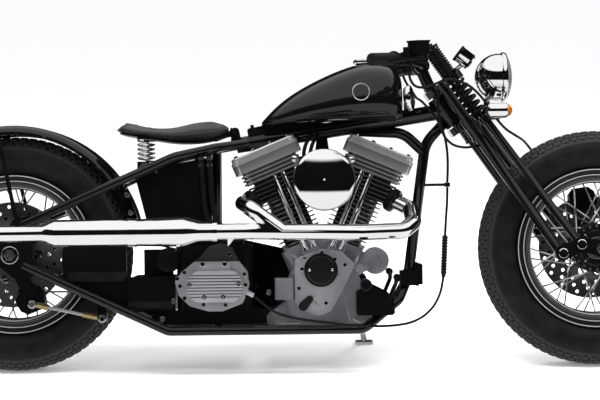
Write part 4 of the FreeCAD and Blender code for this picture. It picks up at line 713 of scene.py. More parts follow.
def rubber(name, tint, roughness, axle=None):
    """Rubber with its grey bloom; on a tyre, the tread beyond the walls is greyer still."""
    soft = Finish(name, tint, roughness, Specular_IOR_Level=0.16)
    bloom = soft.noise(30.0, 8.0)
    dusty = tuple(channel * 2.4 for channel in tint)
    wall = soft.mix(soft.ramp(bloom, (0.4, 0.0), (0.9, 1.0)), tint, dusty)
    if axle is not None:
        reach = soft.from_line(axle, ACROSS)
        tread = soft.ramp(reach, (TREAD_START - 0.004, 0.0), (TREAD_START + 0.006, 1.0))
        wall = soft.mix(tread, wall, tuple(channel * 4.5 for channel in tint))
    soft.set("Base Color", wall)
    soft.set("Roughness", soft.ramp(bloom, (0.3, roughness - 0.08), (0.8, roughness + 0.1)))
    soft.bump(soft.noise(700.0, 4.0), 0.00008, 0.5)
    return soft.material


def leather():
    """Dark leather with a pebbled grain, its tone and shine wandering in patches."""
    hide = Finish("dark saddle leather", (0.014, 0.014, 0.014), 0.42, Specular_IOR_Level=0.45,
                  Coat_Weight=0.12, Coat_Roughness=0.3)
    grain = hide.cells(420.0) + 0.5 * hide.cells(1100.0)
    hide.mottle(hide.noise(9.0, 6.0), (0.01, 0.0098, 0.0096), (0.034, 0.033, 0.032), 0.34, 0.56)
    hide.bump(1 - grain, 0.0002, 0.7)
    return hide.material


FRONT_TYRE_RUBBER = rubber("front tyre rubber", (0.0042, 0.0042, 0.0045), 0.5, front_axle)
REAR_TYRE_RUBBER = rubber("rear tyre rubber", (0.0042, 0.0042, 0.0045), 0.5, rear_axle)
BELT_RUBBER = rubber("belt rubber", (0.0042, 0.0042, 0.0045), 0.5)
GRIP_RUBBER = rubber("grip rubber", (0.004, 0.0045, 0.0042), 0.45)
CABLE_COVER = rubber("cable cover", (0.003, 0.003, 0.003), 0.36)
LEATHER = leather()
print("soft:", FRONT_TYRE_RUBBER.name, BELT_RUBBER.name, GRIP_RUBBER.name, LEATHER.name)

# %% [markdown]
# ## Lenses and the instrument
# The headlamp's glass is clear and fluted, and the flutes are waves in a bump, fine enough for that. The
# turn signals are amber. The tail lamp is one CAD node, lens and body, so the lens turns red beyond the
# body's mouth. The instrument has a pale face with a black middle, drawn by distance from its axis.

# %% Lenses and instrument face
TAIL_LAMP_ANGLE = 146.0
TAIL_LAMP_MOUTH = 0.387
DIAL_PLACE = (1242, 0, 874)
DIAL_FACING = (-36, 0, 28)
DIAL_MIDDLE = 0.0115


def lens(name, colour, roughness=0.06):
    """Coloured or clear glass with moulded flutes."""
    glass = Finish(name, colour, roughness, Transmission_Weight=0.85, IOR=1.45, Alpha=1.0)
    flutes = glass.node("ShaderNodeTexWave", {"bands_direction": "Y"},
                        {"Vector": glass.place(), "Scale": 55.0, "Distortion": 0.0})
    glass.bump(Field(glass, flutes.outputs["Fac"]), 0.0006, 0.5)
    return glass.material


def tail_lens():
    """The tail lamp: red beyond the mouth of its black body."""
    lamp = Finish("tail lamp", (0.3, 0.004, 0.004), 0.12, Coat_Weight=1.0, Coat_Roughness=0.04)
    turned = math.radians(TAIL_LAMP_ANGLE)
    out = lamp.along(rear_axle, bike_direction(math.cos(turned), 0, math.sin(turned)))
    lamp.set("Base Color", lamp.mix(out > TAIL_LAMP_MOUTH, (0.003, 0.003, 0.003), (0.3, 0.004, 0.004)))
    lamp.bump(lamp.cells(300.0), 0.0002, 0.3)
    return lamp.material


def dial():
    """A pale face under glass with a black middle."""
    face = Finish("instrument face", (0.6, 0.6, 0.58), 0.3, Coat_Weight=0.8, Coat_Roughness=0.03)
    reach = face.from_line(bike_point(*DIAL_PLACE), bike_direction(*DIAL_FACING))
    face.set("Base Color", face.mix(reach < DIAL_MIDDLE, (0.55, 0.55, 0.53), (0.01, 0.01, 0.011)))
    face.bump(face.noise(800.0, 2.0), 0.00002, 0.3)
    return face.material


CLEAR_LENS = lens("fluted clear glass", (0.95, 0.97, 1.0))
AMBER_LENS = lens("amber lens", (0.95, 0.3, 0.02), 0.1)
TAIL_LENS = tail_lens()
DIAL = dial()
print("lenses:", CLEAR_LENS.name, AMBER_LENS.name, TAIL_LENS.name, "and", DIAL.name)

# %% [markdown]
# ## Finishes on the carried-over nodes
# A CAD node whose shape is right keeps its mesh and gets its finish by name. Its triangles share points
# only within a face, so a Weld modifier joins the faces along their seams. A modifier is enough: it leaves
# the CAD mesh itself as it came.

# %% Which node wears what
WORN = {
    BLACK_GLOSS: ("frame_backbone", "frame_downtube", "frame_rails", "frame_stays", "frame_crossbars",
                  "rigid_fork", "spring_fork", "rear_fender", "oil_tank", "fuel_tank",
                  "battery_box", "primary_cover"),
    BLACK_SATIN: ("axle_plates", "fork_rockers", "handlebar", "brake_control", "clutch_control",
                  "front_caliper", "rear_caliper", "top_mounts", "regulator", "forward_controls",
                  "seat_base", "rear_pulley", "transmission"),
    BARREL_FINS: ("cylinders",),
    HEAD_FINS: ("cylinder_heads",),
    CHROME: ("seat_springs", "speedometer", "headlamp", "turn_signals", "pushrod_tubes", "air_cleaner"),
    EXHAUST_CHROME: ("exhaust_headers", "muffler"),
    CASTING: ("crankcase", "carburettor", "oil_filter"),
    COVER: ("cam_cover", "transmission_cover"),
    HEAD_CASTING: ("rocker_boxes",),
    ZINC: ("rear_axle", "front_axle", "side_stand"),
    FRONT_DISC_STEEL: ("front_disc",),
    REAR_DISC_STEEL: ("rear_disc",),
    FRONT_WHEEL_METAL: ("front_wheel",),
    REAR_WHEEL_METAL: ("rear_wheel",),
    FRONT_TYRE_RUBBER: ("front_tyre",),
    REAR_TYRE_RUBBER: ("rear_tyre",),
    BELT_RUBBER: ("drive_belt",),
    GRIP_RUBBER: ("grips",),
    CABLE_COVER: ("fork_lines", "clutch_cable_upper", "clutch_cable_lower", "fork_springs"),
    LEATHER: ("seat",),
    CLEAR_LENS: ("headlamp_lens",),
    AMBER_LENS: ("turn_signal_lenses",),
    TAIL_LENS: ("tail_lamp",),
}
WELD_DISTANCE = 0.00002
for finish, names in WORN.items():
    for name in names:
        node = frame["nodes"][name]
        node.data.materials.clear()
        node.data.materials.append(finish)
        weld = node.modifiers.new("join faces", "WELD")
        weld.merge_threshold = WELD_DISTANCE
print("dressed", sum(len(names) for names in WORN.values()), "of", len(frame["nodes"]), "nodes")

# %% [markdown]
# ## Curves through measured points
# The tank, the tyre and the saddle are free forms, given by a few measured sections. A periodic cubic
# spline closes each section smoothly, and an open one carries the sections along the bike. numpy solves
# both as a small linear system, so the quads can be as fine as the gloss asks for.


# %% Splines
def spline(values, positions, wanted, periodic=False):
    """A cubic spline through values at positions, read off at the wanted positions."""
    values = np.asarray(values, float)
    knots = np.asarray(positions, float)
    gaps = np.diff(knots)
    count = len(knots)
    matrix = np.zeros((count, count))
    right = np.zeros(values.shape)
    slopes = np.diff(values, axis=0) / gaps.reshape(-1, *[1] * (values.ndim - 1))
    for row in range(1, count - 1):
        matrix[row, row - 1:row + 2] = gaps[row - 1], 2 * (gaps[row - 1] + gaps[row]), gaps[row]
        right[row] = 6 * (slopes[row] - slopes[row - 1])
    if periodic:
        matrix[0, 0], matrix[0, -1] = 1, -1
        matrix[-1, 0], matrix[-1, 1] = 2 * gaps[0], gaps[0]
        matrix[-1, -2], matrix[-1, -1] = gaps[-1], 2 * gaps[-1]
        right[-1] = 6 * (slopes[0] - slopes[-1])
    else:
        matrix[0, 0] = matrix[-1, -1] = 1
    bends = np.linalg.solve(matrix, right.reshape(count, -1)).reshape(values.shape)
    result = []
    for place in wanted:
        row = min(max(np.searchsorted(knots, place) - 1, 0), count - 2)
        gap = gaps[row]
        after, before = place - knots[row], knots[row + 1] - place
        result.append(bends[row] * before ** 3 / (6 * gap) + bends[row + 1] * after ** 3 / (6 * gap)
                      + (values[row] / gap - bends[row] * gap / 6) * before
                      + (values[row + 1] / gap - bends[row + 1] * gap / 6) * after)
    return np.array(result)


def closed_section(points, steps):
    """Points along a smooth closed curve through the given ones."""
    ring = np.array(list(points) + [points[0]], float)
    positions = np.concatenate([[0], np.cumsum(np.linalg.norm(np.diff(ring, axis=0), axis=1))])
    wanted = np.linspace(0, positions[-1], steps, endpoint=False)
    return spline(ring, positions, wanted, periodic=True)


def skin(sections, stations, rows, steps):
    """Rings of a form that passes smoothly through closed sections at stations."""
    rings = np.array([closed_section(section, steps) for section in sections])
    wanted = np.linspace(stations[0], stations[-1], rows)
    return spline(rings, stations, wanted)


halfway = float(spline([0, 1, 0], [0, 1, 2], [0.5])[0])
print("a spline through 0, 1, 0 has", round(halfway, 3), "half way up")

# %% [markdown]
# ## Plates
# Pressed and cut sheets stand upright along the bike, so an outline seen from the side gives each one. It
# is swept between two distances across the bike, and its outer rings are drawn in a little, as a bevel.
# A Bevel modifier would do the same, but it would have to be applied piece by piece.

# %% Plates
DIAGONAL = 1.4


def plate(outline, near, far, bevel):
    """A bevelled plate with an (x, z) outline, between two distances across the bike."""
    centre = Vector((sum(x for x, z in outline) / len(outline), sum(z for x, z in outline) / len(outline)))
    rings = []
    for y, inset in ((near, bevel), (near + bevel, 0.0), (far - bevel, 0.0), (far, bevel)):
        ring = []
        for x, z in outline:
            corner = Vector((x, z))
            inward = centre - corner
            ring.append(corner + inward.normalized() * inset * DIAGONAL)
        rings.append([(x, y, z) for x, z in ring])
    return Shape().rings(rings)


def rounded(outline, radius, steps=5):
    """Round the corners of an (x, z) outline."""
    smooth = []
    count = len(outline)
    for number, corner in enumerate(outline):
        corner = Vector(corner)
        before = Vector(outline[number - 1])
        after = Vector(outline[(number + 1) % count])
        start = corner + (before - corner).normalized() * radius
        end = corner + (after - corner).normalized() * radius
        for share in np.linspace(0, 1, steps):
            smooth.append(tuple(start.lerp(corner, share).lerp(corner.lerp(end, share), share)))
    return smooth


print("a rounded square has", len(rounded([(0, 0), (9, 0), (9, 9), (0, 9)], 2)), "corners")

# %% [markdown]
# ## Tyres with cut tread
# These are old-fashioned crossply tyres: a round crown with zigzag ribs round the middle, blocks cut
# into the shoulders, and a smooth wall with a few moulded rings. The tread is real geometry: a fine grid
# round the wheel, sunk where a groove runs, because a bump would leave the tyre's outline smooth. First
# comes the outline without tread, whose surface is the CAD tyre's.

# %% Tyre outline
CROWN_RADIUS = 70.0
TYRE_HALF = 64.0
RIM_RADIUS = 220.0
RIM_HALF = 42.0
PROFILE_STEPS = 96


def tyre_outline(steps):
    """Outer profile from bead to bead as (across, radius) points."""
    crown_edge = TYRE_HALF - 12
    drop = CROWN_RADIUS - math.sqrt(CROWN_RADIUS ** 2 - crown_edge ** 2)
    wall = [(-RIM_HALF, RIM_RADIUS + 1), (-TYRE_HALF + 5, RIM_RADIUS + 20), (-TYRE_HALF, RIM_RADIUS + 44),
            (-crown_edge, WHEEL_RADIUS - drop)]
    crown = []
    for across in (-34, -17, 0, 17, 34):
        crown.append((across, WHEEL_RADIUS - CROWN_RADIUS + math.sqrt(CROWN_RADIUS ** 2 - across ** 2)))
    points = np.array(wall + crown + [(-across, radius) for across, radius in reversed(wall)])
    positions = np.concatenate([[0], np.cumsum(np.linalg.norm(np.diff(points, axis=0), axis=1))])
    return spline(points, positions, np.linspace(0, positions[-1], steps))


print("a tyre is", round(2 * tyre_outline(PROFILE_STEPS)[:, 1].max()), "mm across")

# %% [markdown]
# ## Grooves and wall rings
# Rows of blocks run round the crown, each row half a block ahead of the next, and the ribs between them
# swing in a zigzag. On the wall a few thin rings stand up. Both are plain formulas of a place on the tyre.

# %% Tread and wall
GROOVE_DEPTH = 5.0
BLOCKS = 80
ROW_WIDTH = 13.0
ROWS_PER_SIDE = 4
TREAD_DROP = 40.0


def groove_depth(across, radius, around):
    """How deep the tread is cut at a place: rows of blocks, each row half a block ahead of the next."""
    if radius < WHEEL_RADIUS - TREAD_DROP:
        return 0.0
    phase = around * BLOCKS % 1.0
    swing = 1.3 * (4 * abs(phase - 0.5) - 1)
    place = abs(across) + swing
    row = int(place // ROW_WIDTH)
    if row >= ROWS_PER_SIDE:
        return 0.0
    beside = place - row * ROW_WIDTH
    edge = min(beside, ROW_WIDTH - beside) if row or beside > ROW_WIDTH / 2 else ROW_WIDTH - beside
    ring = min(1.0, max(0.0, (2.0 - edge) / 0.8))
    shifted = (phase + 0.5 * (row % 2)) % 1.0
    cut = min(1.0, max(0.0, (0.1 - abs(shifted - 0.5)) / 0.035))
    return max(ring, cut) * GROOVE_DEPTH


def wall_rings(radius):
    """Moulded rings on the side wall, in millimetres of height."""
    height = 0.0
    for middle, width, rise in ((RIM_RADIUS + 7.0, 2.4, 1.4), (RIM_RADIUS + 13.0, 2.4, 1.4),
                                (RIM_RADIUS + 19.0, 2.4, 1.4), (RIM_RADIUS + 58.0, 2.0, 1.2)):
        height = max(height, rise * max(0.0, 1 - abs(radius - middle) / width))
    return height


print("in a groove the tread is", groove_depth(ROW_WIDTH, WHEEL_RADIUS, 0.25 / BLOCKS), "mm deep")

# %% [markdown]
# ## The whole tyre
# The outline is set round the wheel, and each of its points moves along the surface's own normal. The
# grooves only cut, and the rings reach no higher than the outline, so the tyre keeps its size.

# %% Tyre shape
WALL_TOP = RIM_RADIUS + 70.0
WALL_SINK = 1.4
ROUND_STEPS = 960


def tyre_shape(centre_x):
    """The carved profile, set round the wheel step by step."""
    outline = tyre_outline(PROFILE_STEPS)
    slope = np.gradient(outline, axis=0)
    outward = np.column_stack([-slope[:, 1], slope[:, 0]])
    outward /= np.linalg.norm(outward, axis=1)[:, None]
    rings = []
    for step in range(ROUND_STEPS):
        share = step / ROUND_STEPS
        angle = 2 * math.pi * share
        section = []
        for (across, radius), (out_across, out_radius) in zip(outline, outward):
            move = -groove_depth(across, radius, share)
            if radius < WALL_TOP:
                move += wall_rings(radius) - WALL_SINK
            section.append((across + move * out_across, radius + move * out_radius))
        section += [(RIM_HALF - 9.0, RIM_RADIUS - 13.0), (-RIM_HALF + 9.0, RIM_RADIUS - 13.0)]
        rings.append([(centre_x + radius * math.cos(angle), across, WHEEL_RADIUS + radius * math.sin(angle))
                      for across, radius in section])
    return Shape().rings(rings, closed=True)


print("each tyre is made of", PROFILE_STEPS + 2, "by", ROUND_STEPS, "points")

# %% [markdown]
# ## Tyres on their wheels
# Front and rear tyre are alike, so one shape is built at each axle. A tyre stands for its CAD node and
# rides on its wheel. Edges only stay crisp beyond 50 degrees here, so that the walls shade smoothly and the
# grooves are still cut sharp.

# %% Two tyres
for end, centre, finish in (("front", WHEEL_BASE, FRONT_TYRE_RUBBER), ("rear", 0.0, REAR_TYRE_RUBBER)):
    make_piece(end + "_tyre_with_tread", tyre_shape(centre), finish, end + "_wheel",
               [end + "_tyre"], sharp=50.0)

# %% [markdown]
# ## The tank
# The tank is the piece that everyone looks at, and its lacquer shows every flaw in the mesh. So it is
# rebuilt from the same sections as the CAD tank, as an even grid. A subdivided cage would be smooth too,
# but a spline passes exactly through the measured sections.

# %% Tank shape
BACKBONE_LOW = Vector((618.0, 0.0, 622.0))
BACKBONE_HIGH = Vector((1207.8, 0.0, 713.1))
TUNNEL_RADIUS = 27.0
TANK_SECTIONS = ((690, 675, 686, 34), (712, 674, 710, 52), (755, 677, 748, 74), (825, 683, 791, 98),
                 (910, 688, 829, 116), (985, 689, 848, 124), (1036, 688, 845, 120), (1062, 687, 831, 108),
                 (1077, 688, 808, 92))
SIDE_SHARES = ((0.72, 0.015), (0.985, 0.2), (0.95, 0.52), (0.66, 0.84))
TANK_ROWS = 150
TANK_STEPS = 128
FRONT_BULGE = 5.0


def tank_section(low, high, half):
    """One closed section as (across, up) points, like a loaf with its sides drawn in."""
    height = high - low
    right = [(half * across, low + height * up) for across, up in SIDE_SHARES]
    left = [(-across, up) for across, up in reversed(right)]
    return [(0, low)] + right + [(0, high)] + left


def tank_shape():
    """The skin through the sections, with rounded ends."""
    stations = [section[0] for section in TANK_SECTIONS]
    rings = skin([tank_section(*section[1:]) for section in TANK_SECTIONS], stations, TANK_ROWS, TANK_STEPS)
    wanted = np.linspace(stations[0], stations[-1], TANK_ROWS)
    ends = []
    for ring, x, sign in ((rings[0], wanted[0], -1), (rings[-1], wanted[-1], 1)):
        middle = ring.mean(axis=0)
        caps = []
        for share in (0.97, 0.9, 0.75, 0.5, 0.2):
            bulge = FRONT_BULGE * math.sqrt(1 - share ** 2) if sign > 0 else 0.0
            caps.append([(x + sign * bulge, *(middle + (point - middle) * share)) for point in ring])
        ends.append(caps)
    body = [[(x, *point) for point in ring] for x, ring in zip(wanted, rings)]
    return Shape().rings(list(reversed(ends[0])) + body + ends[1])


print("the tank is", TANK_SECTIONS[-1][0] - TANK_SECTIONS[0][0], "mm long from first to last section")

# %% [markdown]
# ## The tunnel under the tank
# The tank straddles the frame's backbone, so a tunnel runs along under it. A boolean cuts it. It leaves
# long thin faces beside the cut, which is no harm here, because they lie out of sight under the tank.


# %% Tank tunnel
def evaluated_mesh(piece):
    """What a piece's mesh is once its modifiers have worked."""
    return bpy.data.meshes.new_from_object(piece.evaluated_get(bpy.context.evaluated_depsgraph_get()))


def cut_away(piece, tool):
    """Cut the tool's shape out of the piece, and keep the result as its mesh."""
    modifier = piece.modifiers.new("cut", "BOOLEAN")
    modifier.object = tool
    modifier.solver = "EXACT"
    bpy.context.view_layer.update()
    mesh = evaluated_mesh(piece)
    piece.modifiers.remove(modifier)
    piece.data = mesh
    bpy.data.objects.remove(tool)
    mesh.shade_smooth()
    mesh.set_sharp_from_angle(angle=math.radians(35))


def tunnel_tool():
    """A round-topped bar along the backbone, open downwards."""
    along = (BACKBONE_HIGH - BACKBONE_LOW).normalized()
    down = Vector((along.z, 0, -along.x))
    rings = []
    for distance in (-40.0, 700.0):
        centre = BACKBONE_LOW + along * distance
        arc = [centre + Vector((0, math.cos(a), 0)) * TUNNEL_RADIUS - down * math.sin(a) * TUNNEL_RADIUS
               for a in np.linspace(0, math.pi, 25)]
        feet = [centre + Vector((0, side, 0)) * TUNNEL_RADIUS + down * 90.0 for side in (-1, 1)]
        rings.append(arc + feet)
    mesh = bpy.data.meshes.new("tunnel tool")
    shape = Shape().rings(rings)
    mesh.from_pydata(shape.points, [], shape.faces)
    mesh.transform(BIKE)
    tool = bpy.data.objects.new("tunnel tool", mesh)
    bpy.context.scene.collection.objects.link(tool)
    return tool


tank = make_piece("fuel_tank_body", tank_shape(), BLACK_GLOSS, "chassis", ["fuel_tank"])
cut_away(tank, tunnel_tool())
print("tank has", len(tank.data.polygons), "faces after the tunnel")

# %% [markdown]
# ## Badge rings that lie on the tank
# A round badge sits on each side of the tank. It is left plain: a bare polished ring. The tank's side is
# curved both ways, so the ring can't be drawn flat. A ray from outside finds the skin at each point, and
# Blender's BVH tree answers such rays fast. A Shrinkwrap modifier would also do, once per piece.


# %% Badge rings
def skin_finder(piece):
    """A function that drops a point onto a piece's skin along a direction, on the upright bike."""
    tree = BVHTree.FromObject(piece, bpy.context.evaluated_depsgraph_get())
    back = BIKE.inverted()

    def find(start, direction):
        begin = BIKE @ Vector(start)
        hit = tree.ray_cast(begin, (BIKE @ (Vector(start) + Vector(direction)) - begin).normalized())
        if hit[0] is None:
            return None, None
        return back @ hit[0], (back.to_3x3() @ hit[1]).normalized()
    return find


on_tank = skin_finder(tank)
BADGE_X, BADGE_Z = 964, 762
BADGE_RADIUS = 23


def tank_badge(side):
    """A circle on the tank's skin, seen from one side."""
    ring = []
    for angle in angles(48):
        x, z = BADGE_X + BADGE_RADIUS * math.cos(angle), BADGE_Z + BADGE_RADIUS * math.sin(angle)
        spot, normal = on_tank((x, side * 300, z), (0, -side, 0))
        ring.append(spot + normal * 0.4)
    return ring


badge = Shape()
for side in (-1, 1):
    badge.tube(tank_badge(side), 1.5, 8, closed=True)
make_piece("tank_badge_rings", badge, POLISHED, "chassis")

# %% [markdown]
# ## Filler cap, seam and rear mount
# The filler cap stands on the ridge, turned on the lathe, with small ribs round its rim for the fingers.
# The tank is two pressings, and the bead where they are welded runs along its lower edge. A black plate
# carries the tank's tail on the backbone, with one bolt through it.

# %% Cap, seam bead and rear mount
CAP_X, CAP_Z = 978, 846
CAP_PROFILE = ((-18, 22), (-2, 22), (0, 29), (2, 30), (9, 30), (12, 27), (13.2, 20), (13.4, 8), (13.4, 0))
CAP_RIB_REACH = 30.2
cap = Shape().lathe(CAP_PROFILE, (CAP_X, 0, CAP_Z), (0, 0, 1), 64)
for angle in angles(30):
    x, y = CAP_X + CAP_RIB_REACH * math.cos(angle), CAP_RIB_REACH * math.sin(angle)
    cap.tube([(x, y, CAP_Z + 2.5), (x, y, CAP_Z + 8.5)], 1.1, 6)
make_piece("tank_filler_cap", cap, CHROME, "chassis")

SEAM_BACK, SEAM_FRONT = 694, 1074
SEAM_LOW, SEAM_RISE = 688, 14
seam = []
for share in np.linspace(0, 1, 60):
    x = SEAM_BACK + (SEAM_FRONT - SEAM_BACK) * share
    spot, normal = on_tank((x, -300, SEAM_LOW + SEAM_RISE * share), (0, 1, 0))
    if spot is not None:
        seam.append(spot)
bead = Shape()
bead.tube(seam, 1.6, 8)
bead.tube([(x, -y, z) for x, y, z in seam], 1.6, 8)
make_piece("tank_seam_bead", bead, BLACK_GLOSS, "chassis")

MOUNT_OUTLINE = ((652, 640), (648, 668), (700, 679), (860, 684), (900, 676), (900, 664))
mount = plate(rounded(MOUNT_OUTLINE, 5), -13, 13, 2)
mount.lathe([(0, 12), (7, 12), (8, 8), (8, 5), (15, 5), (16, 3), (16, 0)], (664, 0, 664), (-0.16, 0, 1), 28)
make_piece("tank_rear_mount", mount, BLACK_SATIN, "chassis")

# %% [markdown]
# ## The saddle
# The solo saddle is leather over a pressed pan, padded a little: broad at the back, with a narrow nose.
# A few measured sections give its form, each one nearly a box with very round corners. It could be
# sculpted, but sections are easier to correct one by one.

# %% Saddle sections
SADDLE_SECTIONS = ((283, 664, 671, 62), (300, 660, 681, 96), (345, 651, 678, 124), (400, 642, 668, 122),
                   (450, 635, 671, 96), (505, 634, 683, 60), (560, 642, 688, 38), (590, 656, 684, 26),
                   (601, 664, 676, 12))
SADDLE_ROWS = 70
SADDLE_STEPS = 96
SHRINK = 0.8
PULLED_IN = 3


def saddle_section(low, high, half, shrink):
    """One closed section, nearly a box with very round corners."""
    middle = (low + high) / 2
    tall = max((high - low) / 2 - shrink, 1.5)
    wide = max(half - 2 * shrink, 4.0)
    ring = []
    for angle in angles(12):
        across, up = math.cos(angle), math.sin(angle)
        ring.append((wide * math.copysign(abs(across) ** 0.7, across),
                     middle + tall * math.copysign(abs(up) ** 0.8, up)))
    return ring


def saddle_shape():
    """The sections joined from the saddle's tail to its nose."""
    stations = [section[0] for section in SADDLE_SECTIONS]
    sections = [saddle_section(*section[1:], SHRINK) for section in SADDLE_SECTIONS]
    rings = skin(sections, stations, SADDLE_ROWS, SADDLE_STEPS)
    wanted = np.linspace(stations[0] + PULLED_IN, stations[-1] - PULLED_IN, SADDLE_ROWS)
    return Shape().rings([[(x, *point) for point in ring] for x, ring in zip(wanted, rings)])


length = SADDLE_SECTIONS[-1][0] - SADDLE_SECTIONS[0][0] - 2 * PULLED_IN
print("before it swells, the saddle is", length, "mm long")

# %% [markdown]
# ## Stuffed leather
# Cloth simulation gives the taut swell of stuffed leather by itself. The mesh is remeshed to even quads
# and swells under a small pressure with gravity off, and each point may only move a few millimetres, so
# that the saddle keeps its measured outline.

# %% Saddle
MOST_SWELL = 4.0
FRAMES = 20


def pump_up(piece, pressure, most):
    """Swell a closed mesh as sewn cloth, no point by more than most millimetres."""
    remesh = piece.modifiers.new("even quads", "REMESH")
    remesh.mode = "VOXEL"
    remesh.voxel_size = 0.005
    bpy.context.view_layer.update()
    piece.data = evaluated_mesh(piece)
    piece.modifiers.clear()
    before = [vertex.co.copy() for vertex in piece.data.vertices]
    cloth = piece.modifiers.new("leather", "CLOTH")
    cloth.settings.use_pressure = True
    cloth.settings.uniform_pressure_force = pressure
    cloth.settings.effector_weights.gravity = 0.0
    for number in range(1, FRAMES + 1):
        bpy.context.scene.frame_set(number)
    swollen = evaluated_mesh(piece)
    piece.modifiers.clear()
    for vertex, start in zip(swollen.vertices, before):
        move = vertex.co - start
        if move.length > most / 1000:
            move = move.normalized() * most / 1000
        vertex.co = start + move
    piece.data = swollen
    bpy.context.scene.frame_set(1)
    piece.data.shade_smooth()
    finer = piece.modifiers.new("finer", "SUBSURF")
    finer.levels = finer.render_levels = 1


saddle = make_piece("saddle_leather", saddle_shape(), LEATHER, "chassis", ["seat"])
pump_up(saddle, 4.0, MOST_SWELL)
print("saddle has", len(saddle.data.polygons), "faces")

# %% [markdown]
# ## Welt and rivets of the saddle
# A leather saddle ends in a rolled welt, and domed rivets hold it to the pan. Both lie on the skin, so
# rays find their places after the simulation has moved it.

# %% Welt and rivets
WELT_BACK, WELT_FRONT = 300, 594
WELT_HEIGHT = 0.42
saddle_stations = [section[0] for section in SADDLE_SECTIONS]
saddle_heights = [section[1:3] for section in SADDLE_SECTIONS]
on_saddle = skin_finder(saddle)
right_edge, left_edge = [], []
for share in np.linspace(0, 1, 40):
    x = WELT_BACK + (WELT_FRONT - WELT_BACK) * share
    low, high = (float(value) for value in spline(saddle_heights, saddle_stations, [x])[0])
    height = low + WELT_HEIGHT * (high - low)
    for side, edge in ((-1, right_edge), (1, left_edge)):
        spot, normal = on_saddle((x, side * 300, height), (0, -side, 0))
        if spot is not None:
            edge.append(spot)
welt = Shape().tube(right_edge + list(reversed(left_edge)), 1.9, 8, closed=True)
make_piece("saddle_welt", welt, LEATHER, "chassis")

rivets = Shape()
for x in (318, 345, 380):
    for side in (-1, 1):
        spot, normal = on_saddle((x, side * 60, 800), (0, 0, -1))
        if spot is not None:
            rivets.lathe([(-1, 4.2), (0.6, 4.0), (1.6, 2.6), (2.0, 0.0)], spot, normal, 20)
make_piece("saddle_rivets", rivets, CHROME, "chassis")

# %% [markdown]
# ## Screws that find their seat
# A casting's face is rarely where one thinks it is, and a screw that floats or drowns spoils the whole
# cover. So screws are dropped onto a node's skin from outside by a ray, and each one sits on its seat
# whatever the casting does there.


# %% Screws on a node's skin
SEATING = 0.2


def node_finder(name):
    """A skin finder for a CAD node."""
    return skin_finder(frame["nodes"][name])


def screws(shape, kind, node, places, side, radius, height):
    """Set one kind of head on a node's outer face at each (x, z), seen from the given side."""
    find = node_finder(node)
    for x, z in places:
        spot, normal = find((x, side * 600, z), (0, -side, 0))
        if spot is not None:
            kind(shape, (x, spot.y - side * SEATING, z), (0, side, 0), radius, height)


spot, normal = node_finder("cam_cover")((862, -600, 186), (0, 1, 0))
print("a cam cover screw sits", round(-spot.y), "mm out and faces", [round(value, 2) for value in normal])

# %% [markdown]
# ## Screws of the engine and gearbox covers
# The covers' socket screws sit in rings along their flanges, and two acorn nuts hold the round points
# cover. Their places were read from the photograph, as (x, z) pairs on the upright bike.

# %% Cover screws
GEARBOX_FLANGE = ((528, 186), (588, 185), (477, 204), (458, 258), (465, 237), (477, 274), (643, 239),
                  (640, 268), (524, 322), (600, 322))
GEARBOX_PAD = ((527, 296), (587, 296), (531, 206), (582, 206), (491, 239), (624, 241))
CAM_SCREWS = ((797, 279), (915, 290), (788, 227), (862, 186), (806, 308), (888, 306), (852, 324))
POINTS_SCREWS = ((818, 277), (880, 277))
covers = Shape()
screws(covers, cap_screw, "transmission_cover", GEARBOX_FLANGE, -1, 5.5, 5)
screws(covers, cap_screw, "transmission_cover", GEARBOX_PAD, -1, 7.0, 5)
screws(covers, cap_screw, "cam_cover", CAM_SCREWS, -1, 5.5, 4)
screws(covers, dome_nut, "cam_cover", POINTS_SCREWS, -1, 5.0, 5)
make_piece("cover_screws", covers, CHROME, "chassis")

# %% [markdown]
# ## Screws, nuts and flanges of the cylinders
# The rocker boxes are held by screws from above and the cylinders by nuts at their feet. Each header pipe
# meets its head in a black flange with two nuts. All of it is placed along and across the cylinder it
# belongs to, so the rear and the front cylinder share one loop and only change sides.

# %% Cylinder hardware
def cylinder_point(side, along, across, y):
    """A place given along and across a cylinder, from the crank's middle."""
    lean = side * CYLINDER_ANGLE
    return Vector((CRANK_X + along * math.sin(lean) + across * math.cos(lean), y,
                   CRANK_Z + along * math.cos(lean) - across * math.sin(lean)))


ROCKER_TOP = 437.0
DECK = 150.0
PORT_ALONG, PORT_ACROSS, PORT_Y = 306.0, 88.0, -46.0
NUT_REACH = 28.5
FLANGE_PROFILE = ((-16, 25.5), (-16, 31), (-12, 34), (0, 34), (4, 31), (4, 23))
tops, feet, flanges, nuts = Shape(), Shape(), Shape(), Shape()
for side in (-1, 1):
    up = cylinder_point(side, 1, 0, 0) - cylinder_point(side, 0, 0, 0)
    for across in (-78, -26, 26, 78):
        for y in (-50, 50):
            cap_screw(tops, cylinder_point(side, ROCKER_TOP - 0.3, across, y), up, 5.5, 5.5)
    for across in (-50, 50):
        for y in (-46, 46):
            hex_head(feet, cylinder_point(side, DECK - 0.3, across, y), up, 8, 11)
    port = cylinder_point(side, PORT_ALONG, side * PORT_ACROSS, PORT_Y)
    valve = cylinder_point(side, 322, side * 30, -20)
    out = (port - valve).normalized()
    flanges.lathe(FLANGE_PROFILE, port, out, 40, closed=True)
    beside = out.cross(Vector((0, 0, 1))).normalized()
    above = out.cross(beside)
    for way in (-1, 1):
        hex_head(nuts, port + above * way * NUT_REACH - out, out, 4.5, 8)
make_piece("rocker_cover_screws", tops, CHROME, "chassis")
make_piece("cylinder_base_nuts", feet, ZINC, "chassis")
make_piece("exhaust_port_flanges", flanges, BLACK_SATIN, "chassis")
make_piece("exhaust_flange_nuts", nuts, ZINC, "chassis")

